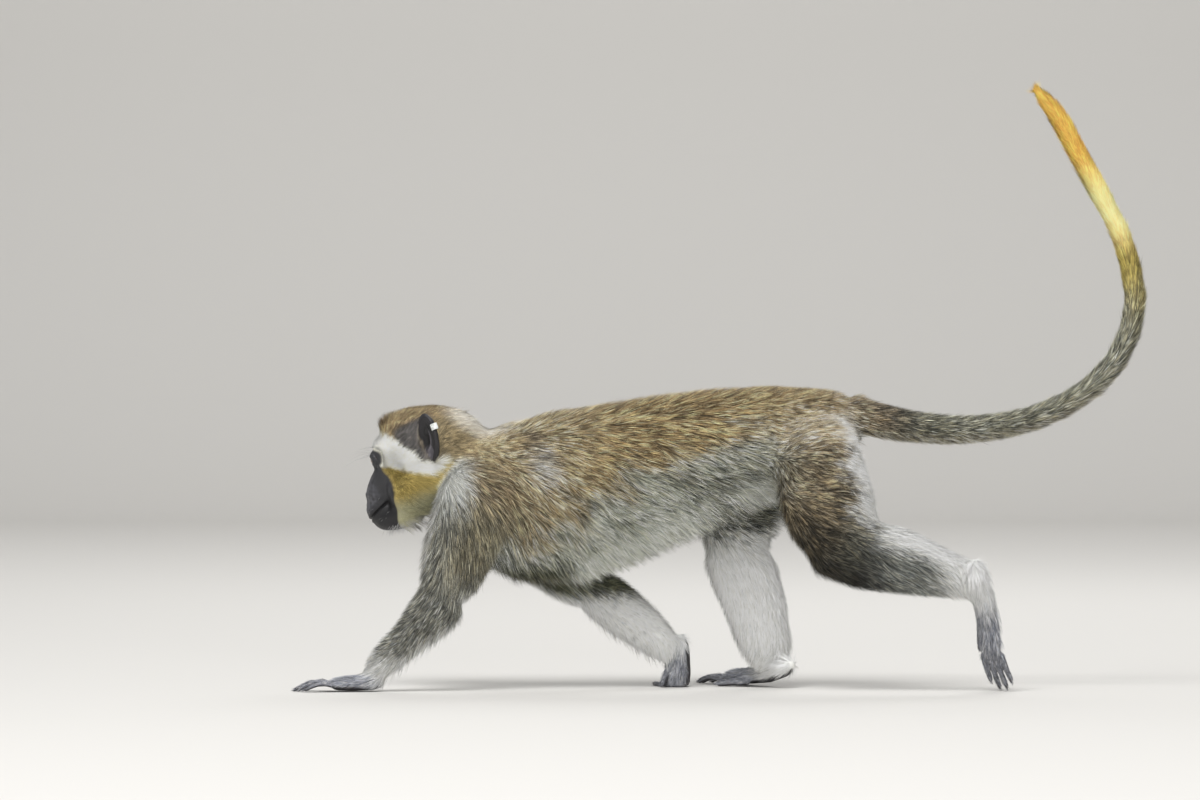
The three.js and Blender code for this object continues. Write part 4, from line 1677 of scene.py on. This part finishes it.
@dataclass
class Coat:
    """Fur as thin closed tufts that root in the skin and lie along the body.

    The gather says how far the tips of one lock are drawn together, and stray is the share of tufts that
    lie otherwise. Tones are the brightness from root to tip, darker at the root partly for the hair's own
    banding and partly as painted shade deep in the coat, and warmth how much some tufts lean to yellow.
    Brightness bends over at the knee and never passes the limit.
    """

    skin: Skin
    marks: Markings
    material: bpy.types.Material
    lock: float = 2.7 * MM
    gather: float = 0.3
    stray: float = 0.05
    length_spread: tuple[float, float] = (0.7, 1.2)
    width_spread: tuple[float, float] = (0.65, 1.25)
    root_depth: float = 0.5 * MM
    gain: float = 1.45
    # Both rows of tones are darker at the root: partly the hair's own banding, partly painted shade deep in
    # the coat.
    tones: tuple[float, float] = (0.68, 1.14)
    wisp_tones: tuple[float, float, float] = (0.85, 1.0, 1.08)
    warmth: float = 0.1
    knee: float = 0.6
    limit: float = 0.96
    wisps: int = 16000
    wisp_clump: float = 7 * MM
    wisp_gather: float = 0.5
    wisp_length: float = 21 * MM

    def build(self) -> None:
        """Makes every coat piece."""
        mesh = self.skin.mesh
        mesh.calc_loop_triangles()
        self.corners = rows_of(mesh.loop_triangles, "vertices", 3, np.int32)
        loops = rows_of(mesh.loop_triangles, "loops", 3, np.int32)
        self.corner_uv = rows_of(mesh.uv_layers[BAKE_MAP].data, "uv", 2)[loops]
        trio = self.skin.points[self.corners]
        self.area = np.linalg.norm(np.cross(trio[:, 1] - trio[:, 0], trio[:, 2] - trio[:, 0]), axis=1) / 2
        fewer = 1
        hairy = ease(0.3, 0.75, 1 - self.marks.bare)
        for order, (name, (tufts, slot, lock_share)) in enumerate(COATS.items()):
            growths = [i for i, g in enumerate(GROWTHS) if g.piece == name]
            own = np.isin(self.skin.growth, growths)
            rng = np.random.default_rng(LAID_SEED + order)
            roots = self.sow(hairy * self.marks.density, own, tufts // fewer, rng)
            self.finish(name, self.laid(roots, rng, self.lock * lock_share), slot)
        rng = np.random.default_rng(LAID_SEED + len(COATS))
        roots = self.sow(self.marks.fringe, np.ones(len(hairy), bool), self.wisps // fewer, rng)
        self.finish("coat_wisps", self.wispy(roots, rng), Slot.FLANK)
        self.finish("coat_whiskers", self.whiskers(), Slot.CROWN)

    def sow(self, density: np.ndarray, own: np.ndarray, tufts: int, rng: np.random.Generator) -> Roots:
        """Spreads roots over the skin.

        Args:
            density: how thickly they stand, for each vertex.
            own: which vertices they may stand on.
            tufts: how many there are.
            rng: the piece's random draws.

        Returns:
            The roots.
        """
        corners = self.corners
        weight = self.area * density[corners].mean(1) * own[corners[:, 0]]
        total = np.cumsum(weight)
        places = (np.arange(tufts) + rng.random(tufts)) / tufts * total[-1]
        chosen = np.minimum(np.searchsorted(total, places), len(weight) - 1)
        share = rng.random((tufts, 2))
        share = np.where(share.sum(1, keepdims=True) > 1, 1 - share, share)
        shares = np.column_stack([1 - share.sum(1), share])
        return Roots.of(self.skin, self.marks, corners[chosen], shares, self.corner_uv[chosen])

    def laid(self, roots: Roots, rng: np.random.Generator, clump: float) -> Tufts:
        """Tufts that lie along the body in locks, a few of them astray.

        Args:
            roots: where they grow.
            rng: the piece's random draws.
            clump: the size of a lock at its root.

        Returns:
            The tufts, each with one ring and its tip.
        """
        marks, count = self.marks, len(roots.point)
        normal = roots.normal
        streak, lean = roots.read(marks.streak), roots.read(marks.lean)
        astray = rng.random(count) < self.stray
        sway = 0.12 * ripple(roots.point, 30 * MM, 11) + 0.16 * lean
        sway += rng.normal(size=count) * np.where(astray, 0.3, 0.09)
        lay = unit(roots.lay + np.cross(normal, roots.lay) * sway[:, None])
        across = np.cross(normal, lay)
        length = roots.read(marks.length) * rng.uniform(*self.length_spread, count) * MM
        length *= np.where(astray, 1.25, 1)
        lift = rng.normal(0.82, 0.16, count) + 0.13 * streak + astray * 0.5
        rise = np.clip(roots.read(marks.depth) * MM / length * lift, 0.03, 0.75)
        tip = roots.point + (lay * np.sqrt(1 - rise**2)[:, None] + normal * rise[:, None]) * length[:, None]
        tip = self.gathered(roots.point, tip, clump, self.gather)
        width = roots.read(marks.width) * rng.uniform(*self.width_spread, count) * MM
        width *= np.where(astray, 0.55, 1)
        path = np.stack([roots.point - normal * self.root_depth, tip], 1)
        colours = self.tuft_colours(roots, streak, rng, clump, self.tones)
        return Tufts(path, across, normal, width[:, None], colours, roots.uv)

    def wispy(self, roots: Roots, rng: np.random.Generator) -> Tufts:
        """Long bent tufts that hang and stand out from the outline.

        Args:
            roots: where they grow.
            rng: the piece's random draws.

        Returns:
            The tufts, each with two rings and its tip.
        """
        count = len(roots.point)
        normal = roots.normal
        limb = 1 - roots.read(self.marks.trunk.astype(float))
        close = roots.read(self.marks.of("tail", "neck", "head").astype(float))[:, None]
        down = np.array((0, 0, -1.0)) * (1 - close)
        spread = 0.16 * rng.normal(size=(count, 3))
        heading = unit(roots.lay + (0.55 - 0.2 * close) * normal + 0.35 * down + spread)
        length = self.wisp_length * rng.uniform(0.5, 1.15, count) * (1 - 0.25 * limb)
        bend = roots.point + heading * (length * 0.5)[:, None]
        onward = unit(heading + 0.5 * down + 0.3 * roots.lay)
        tip = bend + onward * (length * 0.5)[:, None]
        tip = self.gathered(roots.point, tip, self.wisp_clump, self.wisp_gather)
        bend = self.gathered(roots.point, bend, self.wisp_clump, self.wisp_gather * 0.5)
        across = unit(np.cross(normal, heading))
        width = rng.uniform(0.45, 0.8, count)[:, None] * (1, 0.75) * MM
        path = np.stack([roots.point - normal * self.root_depth, bend, tip], 1)
        colours = self.tuft_colours(roots, np.zeros(count), rng, self.lock, self.wisp_tones)
        return Tufts(path, across, normal, width, colours, roots.uv)

    def whiskers(self) -> Tufts:
        """Long pale hairs that stand forward from the brow, and short bristles on the muzzle and chin.

        Returns:
            The hairs, each with two rings and its tip.
        """
        axes = self.skin.axes
        rng = np.random.default_rng(WHISKER_SEED)
        found = []
        forward, side, up = self.skin.local.T
        brow = ease(56, 60, forward) * ease(21, 24, up) * ease(34, 30, up) * ease(20, 15, np.abs(side))
        muzzle = ease(66, 72, forward) * ease(-44, -38, up) * ease(-6, -12, up) * ease(4, 9, np.abs(side))
        chin = ease(-46, -50, up) * ease(58, 66, forward) * self.skin.on_head
        for zone, count, length, droop, width, tone in (
            (brow, 22, 25, 0.05, 0.36, 0.62),
            (muzzle, 26, 5, -0.25, 0.16, 0.35),
            (chin, 150, 7, -0.7, 0.36, 0.62),
        ):
            roots = self.sow(zone * self.skin.on_head, self.skin.on_head, count, rng)
            spread = rng.normal(size=(count, 3)) * 0.16
            aside = np.sign(roots.read(side)) * 0.25
            ahead = np.stack([np.full(count, 1.0), aside, np.full(count, droop)], 1)
            aim = (ahead + spread) @ np.stack([axes.forward, axes.side, axes.up])
            heading = unit(aim + 0.4 * roots.normal)
            reach = (length * rng.uniform(0.6, 1.15, count) * MM)[:, None]
            bend = roots.point + heading * reach * 0.5
            tip = bend + unit(heading + (0, 0, -0.25)) * reach * 0.5
            across = unit(np.cross(roots.normal, heading) + 1e-6)
            widths = np.full((count, 1), width) * (1, 0.75) * MM
            colours = np.full((count, 3, 3), tone) * rng.uniform(0.7, 1.1, (count, 1, 1))
            path = np.stack([roots.point - roots.normal * 0.4 * MM, bend, tip], 1)
            found.append((path, across, roots.normal, widths, colours, roots.uv))
        return Tufts(*(np.concatenate(parts) for parts in zip(*found)))

    def gathered(self, root: np.ndarray, tip: np.ndarray, clump: float, gather: float) -> np.ndarray:
        """Draws the tips of neighbouring tufts together, as hair clings in small locks.

        Args:
            root: the roots.
            tip: the points to draw together.
            clump: the size of a lock at its root.
            gather: how much of the way to the lock's middle each point goes.

        Returns:
            The moved points.
        """
        size, group = self.locks(root, clump)
        middle = np.stack([np.bincount(group, tip[:, k]) / size for k in range(3)], 1)[group]
        return tip + (middle - tip) * gather

    @staticmethod
    def locks(root: np.ndarray, clump: float) -> tuple[np.ndarray, np.ndarray]:
        """Groups the roots into small cells: how many each holds, and the cell's number for each root.

        Args:
            root: the roots.
            clump: a cell's size.

        Returns:
            The counts and the numbers.
        """
        cell = np.floor(root / clump).astype(np.int64)
        key = (cell[:, 0] * 73856093) ^ (cell[:, 1] * 19349663) ^ (cell[:, 2] * 83492791)
        _, group = np.unique(key, return_inverse=True)
        return np.bincount(group), group

    def tuft_colours(
        self, roots: Roots, streak: np.ndarray, rng: np.random.Generator, clump: float, tones: Sequence[float]
    ) -> np.ndarray:
        """Each tuft's colours from its base to its tip, some dark and some pale.

        Args:
            roots: where they grow.
            streak: the streaks' value at each root.
            rng: the piece's random draws.
            clump: the size of a lock at its root.
            tones: the brightness of each ring and of the tip.

        Returns:
            For each tuft one colour for each ring and one for its tip.
        """
        count = len(roots.point)
        ticking = roots.read(self.marks.ticking)
        _, lock = self.locks(roots.point, clump)
        own_lock = rng.normal(size=lock.max() + 1)[lock]
        shade = 0.85 * rng.normal(size=count) + 0.3 * streak + 0.65 * own_lock
        shade += 0.1 * ripple(roots.point, 9 * MM, 17)
        tone = np.exp(np.clip(shade, -2, 1.8) * ticking - 0.4 * ticking**2) * self.gain
        warm = (0.5 * own_lock + rng.normal(size=count)) * self.warmth * ticking
        own = roots.colour * tone[:, None] * np.exp(warm[:, None] * np.array((0.4, 0, -0.8)))
        knee, limit = self.knee, self.limit
        own = np.where(own > knee, knee + (limit - knee) * np.tanh((own - knee) / (limit - knee)), own)
        # Darker towards the root, partly the hair's own banding and partly painted shade deep in the coat;
        # pale hair keeps little of it.
        pale = paleness(roots.colour)[:, None, None]
        shades = np.array(tones)[:, None]
        return np.minimum(own[:, None] * (shades + (1 - shades) * 0.9 * pale), limit)

    def finish(self, name: str, tufts: Tufts, slot: Slot) -> None:
        """Makes the object of one coat piece and hands it over."""
        hand_over(new_object(name, tufts.mesh(name), self.material), slot)


# ---------------------------------------------------------------- finishes


@dataclass(frozen=True)
class FurFinish:
    """Hair: keratin, soft and almost matt, with a faint gloss along each tuft."""

    roughness: float = 0.72
    specular: float = 0.25

    def make(self) -> bpy.types.Material:
        """Makes the material.

        Returns:
            The material.
        """
        material, tree, shader = new_material(
            "Monkey hair, guard hairs over underfur",
            Roughness=self.roughness,
            Specular_IOR_Level=self.specular,
        )
        colour = add_node(tree, "ShaderNodeVertexColor", layer_name=MARKINGS)
        feed(shader, {"Base Color": colour.outputs["Color"]})
        return material


@dataclass(frozen=True)
class SkinFinish:
    """Bare skin: fine leathery grain and soft wrinkles, with one roughness all over."""

    grain: float = 0.9 * MM
    wrinkle: float = 2.6 * MM
    roughness: float = 0.5

    def make(self) -> bpy.types.Material:
        """Makes the material.

        Returns:
            The material.
        """
        material, tree, shader = new_material("Monkey skin, bare and leathery", Roughness=self.roughness)
        colour = add_node(tree, "ShaderNodeVertexColor", layer_name=MARKINGS)
        place = add_node(tree, "ShaderNodeTexCoord").outputs["Object"]
        grain = add_node(tree, "ShaderNodeTexVoronoi", {"Vector": place}, Scale=1 / self.grain)
        folds = add_node(tree, "ShaderNodeTexNoise", {"Vector": place}, Scale=1 / self.wrinkle, Detail=3.0)
        height = {"Height": grain.outputs["Distance"]}
        fine = add_node(tree, "ShaderNodeBump", height, Strength=0.25, Distance=0.25 * MM)
        height = {"Height": folds.outputs["Fac"], "Normal": fine.outputs["Normal"]}
        coarse = add_node(tree, "ShaderNodeBump", height, Strength=0.4, Distance=0.6 * MM)
        feed(shader, {"Base Color": colour.outputs["Color"], "Normal": coarse.outputs["Normal"]})
        return material


@dataclass(frozen=True)
class NailFinish:
    """Dark horn: hard and smooth, with fine ridges along it and a dull gloss."""

    colour: str = "#2b2625"
    lighter: float = 1.7
    ridge: float = 0.5 * MM
    roughness: float = 0.38
    ior: float = 1.54

    def make(self) -> bpy.types.Material:
        """Makes the material.

        Returns:
            The material.
        """
        material, tree, shader = new_material("Nail, dark horn", Roughness=self.roughness, IOR=self.ior)
        place = add_node(tree, "ShaderNodeTexCoord").outputs["Object"]
        grain = add_node(tree, "ShaderNodeTexNoise", {"Vector": place}, Scale=1 / self.ridge, Detail=2.0)
        tone = add_node(tree, "ShaderNodeMix", {"Factor": grain.outputs["Fac"]}, data_type="RGBA")
        for socket, colour in ((6, linear(self.colour)), (7, self.lighter * linear(self.colour))):
            tone.inputs[socket].default_value = (*colour, 1)
        height = {"Height": grain.outputs["Fac"]}
        relief = add_node(tree, "ShaderNodeBump", height, Strength=0.3, Distance=0.1 * MM)
        feed(shader, {"Base Color": tone.outputs[2], "Normal": relief.outputs["Normal"]})
        return material


@dataclass(frozen=True)
class TagFinish:
    """Moulded polyurethane: white and satin, with a little wear in the colour."""

    colour: str = "#e9ecea"
    worn: str = "#cfd2cd"
    blotch: float = 2.0 * MM
    roughness: float = 0.42
    ior: float = 1.5

    def make(self) -> bpy.types.Material:
        """Makes the material.

        Returns:
            The material.
        """
        material, tree, shader = new_material(
            "Ear tag, moulded white polyurethane", Roughness=self.roughness, IOR=self.ior
        )
        place = add_node(tree, "ShaderNodeTexCoord").outputs["Object"]
        wear = add_node(tree, "ShaderNodeTexNoise", {"Vector": place}, Scale=1 / self.blotch, Detail=4.0)
        ramp = add_node(tree, "ShaderNodeValToRGB", {"Fac": wear.outputs["Fac"]})
        set_stops(ramp, ((0.35, self.worn), (0.6, self.colour)))
        height = {"Height": wear.outputs["Fac"]}
        relief = add_node(tree, "ShaderNodeBump", height, Strength=0.2, Distance=0.1 * MM)
        feed(shader, {"Base Color": ramp.outputs["Color"], "Normal": relief.outputs["Normal"]})
        return material


# ---------------------------------------------------------------- eyes, nails and tag


@dataclass
class Eyes:
    """Two eyeballs with a domed cornea, brown iris and round pupil. Sizes are in millimetres.

    The colours run out from the line of sight as far as the reach.
    """

    skin: Skin
    cornea: float = 5.4
    bulge: float = 0.9
    iris: float = 4.6
    pupil: float = 1.9
    reach: float = 10
    pupil_colour: str = "#050404"
    inner_iris: str = "#5a3216"
    outer_iris: str = "#8a5526"
    iris_rim: str = "#2a170c"
    white: str = "#3b2a20"

    def build(self) -> None:
        """Makes both eyes."""
        for side, name in zip((-1, 1), EYE_NODES):
            look, across, upward = self.skin.gaze(side)
            centre = box_centre(name)
            ball = bmesh.new()
            radius = self.skin.eye.radius
            bmesh.ops.create_uvsphere(ball, u_segments=48, v_segments=32, radius=radius * MM)
            for vertex in ball.verts:
                off_axis = math.hypot(vertex.co.x, vertex.co.y) / MM
                if vertex.co.z > 0 and off_axis < self.cornea:
                    vertex.co.z += self.bulge * MM * (1 - (off_axis / self.cornea) ** 2) ** 1.5
            turn = axes_turn(across, upward, look)
            if turn.determinant() < 0:
                turn = axes_turn(-across, upward, look)
            bmesh.ops.transform(ball, matrix=Matrix.Translation(Vector(centre)) @ turn, verts=ball.verts)
            mesh = to_mesh(ball, f"eyeball_{name}")
            mesh.shade_smooth()
            piece = new_object(f"eyeball_{name.split('_')[1]}", mesh, self.finish(centre, look, name))
            hand_over(piece, Slot.EYES, name)

    def finish(self, centre: np.ndarray, look: np.ndarray, name: str) -> bpy.types.Material:
        """Wet eye: a clear, glossy cornea over rings of colour by the distance from the line of sight.

        Args:
            centre: the eyeball's middle.
            look: the line of sight.
            name: the eye's CAD node.

        Returns:
            The material.
        """
        material, tree, shader = new_material(
            f"Wet eye, {name}", Roughness=0.12, IOR=1.376, Coat_Weight=1, Coat_Roughness=0.02
        )
        place = add_node(tree, "ShaderNodeTexCoord").outputs["Object"]
        offset = add_node(tree, "ShaderNodeVectorMath", {0: place}, operation="SUBTRACT")
        offset.inputs[1].default_value = Vector(centre + look * self.skin.eye.radius * MM)
        reach = add_node(tree, "ShaderNodeVectorMath", {0: offset.outputs["Vector"]}, operation="LENGTH")
        share = add_node(tree, "ShaderNodeMath", {0: reach.outputs["Value"]}, operation="MULTIPLY")
        share.inputs[1].default_value = 1 / (self.reach * MM)
        ramp = add_node(tree, "ShaderNodeValToRGB", {"Fac": share.outputs[0]})
        pupil, iris = self.pupil / self.reach, self.iris / self.reach
        set_stops(ramp, (
            (0, self.pupil_colour),
            (pupil, self.pupil_colour),
            (pupil + 0.02, self.inner_iris),
            (iris - 0.08, self.outer_iris),
            (iris, self.iris_rim),
            (iris + 0.06, self.white),
        ))
        feed(shader, {"Base Color": ramp.outputs["Color"]})
        return material


@dataclass
class Nails:
    """Twenty small curved nails, one on each digit. Sizes are in millimetres."""

    length: float = 4.6
    width: float = 3.4
    thick: float = 0.7
    arch: float = 0.16
    back_from_tip: float = 2.6
    start_above: float = 12
    tip_vertices: int = 8

    def build(self, skin: Skin, material: bpy.types.Material) -> None:
        """Makes the nails as one piece.

        Args:
            skin: the skin that they sit on.
            material: their finish.
        """
        polygons = [tuple(p.vertices) for p in skin.mesh.polygons]
        surface = BVHTree.FromPolygons([Vector(p) for p in skin.points], polygons)
        joined = bmesh.new()
        for name, back in BACKS.items():
            stem, side = name.split("_")
            for digit in DIGITS[stem]:
                self.nail(joined, f"{digit}_{side}", box_centre(name), back, surface)
        for vertex in joined.verts:
            vertex.co.z = max(vertex.co.z, FLOOR_CLEARANCE / 2)
        mesh = to_mesh(joined, "nails")
        mesh.shade_smooth()
        hand_over(new_object("nails", mesh, material), Slot.SKIN)

    def nail(
        self, joined: bmesh.types.BMesh, digit: str, palm: np.ndarray, back: np.ndarray, surface: BVHTree
    ) -> None:
        """Adds one nail at the end of a digit.

        Args:
            joined: the mesh it goes into.
            digit: the digit's CAD node.
            palm: the middle of the hand or foot.
            back: the direction that the hand's back faces.
            surface: the skin's surface.
        """
        points = vertices_of(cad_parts[digit].data)
        order = np.argsort(np.linalg.norm(points - palm, axis=1))
        tip = points[order[-self.tip_vertices :]].mean(0)
        knuckle = points[order[len(order) // 2 :]].mean(0)
        ahead = unit(tip - knuckle)
        upward = unit(back - (back @ ahead) * ahead)
        above = tip - ahead * self.back_from_tip * MM + upward * self.start_above * MM
        hit, normal, _, _ = surface.ray_cast(Vector(above), Vector(-upward), RAY_REACH)
        if hit is None:
            log.warning("no skin under the nail of %s", digit)
            return
        upward = unit(np.array(normal) + upward)
        ahead = unit(ahead - (ahead @ upward) * upward)
        across = np.cross(upward, ahead)
        made = bmesh.ops.create_uvsphere(joined, u_segments=14, v_segments=8, radius=0.5 * MM)["verts"]
        for vertex in made:
            vertex.co.x *= self.length
            vertex.co.y *= self.width
            vertex.co.z = vertex.co.z * self.thick - self.arch * (vertex.co.y / MM) ** 2 * MM
        place = Matrix.Translation(hit) @ axes_turn(ahead, across, upward)
        bmesh.ops.transform(joined, matrix=place, verts=made)


@dataclass
class EarTag:
    """The small folded tag on the ear's rear rim, with rounded edges and a stud. Sizes are in millimetres."""

    edge: float = 0.35
    stud_radius: float = 1.15
    stud_height: float = 0.7
    start_outside: float = 15

    def build(self, outward: np.ndarray, material: bpy.types.Material) -> None:
        """Makes the tag.

        Args:
            outward: the way that its outer face looks.
            material: its finish.
        """
        tag = bmesh.new()
        tag.from_mesh(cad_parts[TAG_NODE].data)
        bmesh.ops.remove_doubles(tag, verts=tag.verts, dist=MERGE)
        bmesh.ops.dissolve_limit(tag, angle_limit=math.radians(2), verts=tag.verts, edges=tag.edges)
        surface = BVHTree.FromBMesh(tag)
        sharp = [e for e in tag.edges if len(e.link_faces) == 2 and e.calc_face_angle(0) > math.radians(35)]
        bmesh.ops.bevel(
            tag, geom=sharp, offset=self.edge * MM, affect="EDGES", segments=3, profile=0.5, material=-1,
            clamp_overlap=True,
        )
        start = box_centre(TAG_NODE) + outward * self.start_outside * MM
        hit, normal, _, _ = surface.ray_cast(Vector(start), Vector(-outward), RAY_REACH)
        stud = bmesh.ops.create_cone(
            tag, cap_ends=True, segments=20, radius1=self.stud_radius * MM,
            radius2=0.8 * self.stud_radius * MM, depth=self.stud_height * MM,
        )["verts"]
        turn = normal.to_track_quat("Z", "Y").to_matrix().to_4x4()
        bmesh.ops.transform(tag, matrix=Matrix.Translation(hit + normal * 0.2 * MM) @ turn, verts=stud)
        piece = new_object("ear_tag_plate", to_mesh(tag, "ear_tag_plate"), material)
        hand_over(piece, Slot.TAG, TAG_NODE)


# ---------------------------------------------------------------- stage


@dataclass
class Studio:
    """A pale floor that curves up into a backdrop, soft lamps, and the camera at the animal's left side."""

    distance: float = 4.8
    lens: float = 150
    aim: tuple[float, float, float] = (-0.1169, -0.025, 0.278)
    floor_colour: str = "#d8d6d2"
    half_width: float = 10
    in_front: float = 9
    behind: float = 6.6
    bend: float = 1.2
    high: float = 5

    def build(self) -> None:
        """Makes the floor, lamps, world and camera."""
        self.floor()
        self.lamps()
        self.camera()
        bpy.context.scene.view_settings.view_transform = "Standard"

    def floor(self) -> None:
        """Sweeps a flat line, a quarter round and an upright line sideways into one sheet."""
        sheet = bmesh.new()
        ring = [sheet.verts.new((0, -self.in_front, 0)), sheet.verts.new((0, self.behind, 0))]
        ring += [
            sheet.verts.new((0, self.behind + self.bend * math.sin(a), self.bend * (1 - math.cos(a))))
            for a in np.linspace(0, math.pi / 2, 17)[1:]
        ]
        ring.append(sheet.verts.new((0, self.behind + self.bend, self.high)))
        edges = [sheet.edges.new(pair) for pair in zip(ring[:-1], ring[1:])]
        bmesh.ops.translate(sheet, verts=sheet.verts, vec=(-self.half_width, 0, 0))
        swept = bmesh.ops.extrude_edge_only(sheet, edges=edges)
        far = [g for g in swept["geom"] if isinstance(g, bmesh.types.BMVert)]
        bmesh.ops.translate(sheet, verts=far, vec=(2 * self.half_width, 0, 0))
        bmesh.ops.recalc_face_normals(sheet, faces=sheet.faces)
        mesh = to_mesh(sheet, "studio_floor")
        mesh.shade_smooth()
        # Uncoated paper: even and matt, with no shine that would draw the eye.
        paper, _, _ = new_material(
            "Paper backdrop, matt", Base_Color=(*linear(self.floor_colour), 1), Roughness=0.9
        )
        new_object("studio_floor", mesh, paper)

    def lamps(self) -> None:
        """Wide soft lamps above, in front and behind, one for the backdrop, and an even world."""
        self.lamp("key", (-0.8, -2.2, 3.8), 2.2, 155)
        self.lamp("fill", (0.6, -4.6, 1.0), 1.8, 46)
        self.lamp("rim", (0.6, 2.0, 2.6), 1.8, 26)
        self.lamp("wash", (0, 3.4, 4.4), 3, 95, at=(0, 7.8, 0.6))
        world = bpy.data.worlds.new("Even studio light")
        bpy.context.scene.world = world
        world.use_nodes = True
        background = world.node_tree.nodes["Background"]
        background.inputs["Color"].default_value = (1, 1, 1, 1)
        background.inputs["Strength"].default_value = 0.4

    def lamp(
        self, name: str, place: Sequence[float], size: float, watts: float, at: Sequence[float] = (0, 0, 0.2)
    ) -> None:
        """Hangs a square area lamp.

        Args:
            name: its name.
            place: where it hangs.
            size: its side in metres.
            watts: its power.
            at: the place that it faces, the animal if none is given.
        """
        data = bpy.data.lights.new(name, "AREA")
        data.size = size
        data.energy = watts
        made = bpy.data.objects.new(name, data)
        bpy.context.scene.collection.objects.link(made)
        made.location = place
        made.rotation_euler = (Vector(at) - Vector(place)).to_track_quat("-Z", "Y").to_euler()

    def camera(self) -> None:
        """Sets the camera level with the animal, square to its side."""
        data = bpy.data.cameras.new("camera")
        data.lens = self.lens
        data.sensor_width = 36
        made = bpy.data.objects.new("camera", data)
        bpy.context.scene.collection.objects.link(made)
        made.location = Vector(self.aim) - Vector((0, self.distance, 0))
        made.rotation_euler = (math.pi / 2, 0, 0)
        bpy.context.scene.camera = made


def main() -> None:
    """Builds the animal and the studio."""
    logging.basicConfig(level=logging.INFO, format="%(name)s: %(message)s")
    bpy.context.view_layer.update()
    Studio().build()
    skin = Skin()
    skin.build(HeadAxes.from_eyes())
    marks = Markings(skin)
    marks.build()
    skin.dress(SkinFinish().make(), marks.colours)
    Coat(skin, marks, FurFinish().make()).build()
    Eyes(skin).build()
    Nails().build(skin, NailFinish().make())
    EarTag().build(EarAxes.of(EAR_NODES[0], skin.axes).outward, TagFinish().make())


if __name__ == "__main__":
    main()
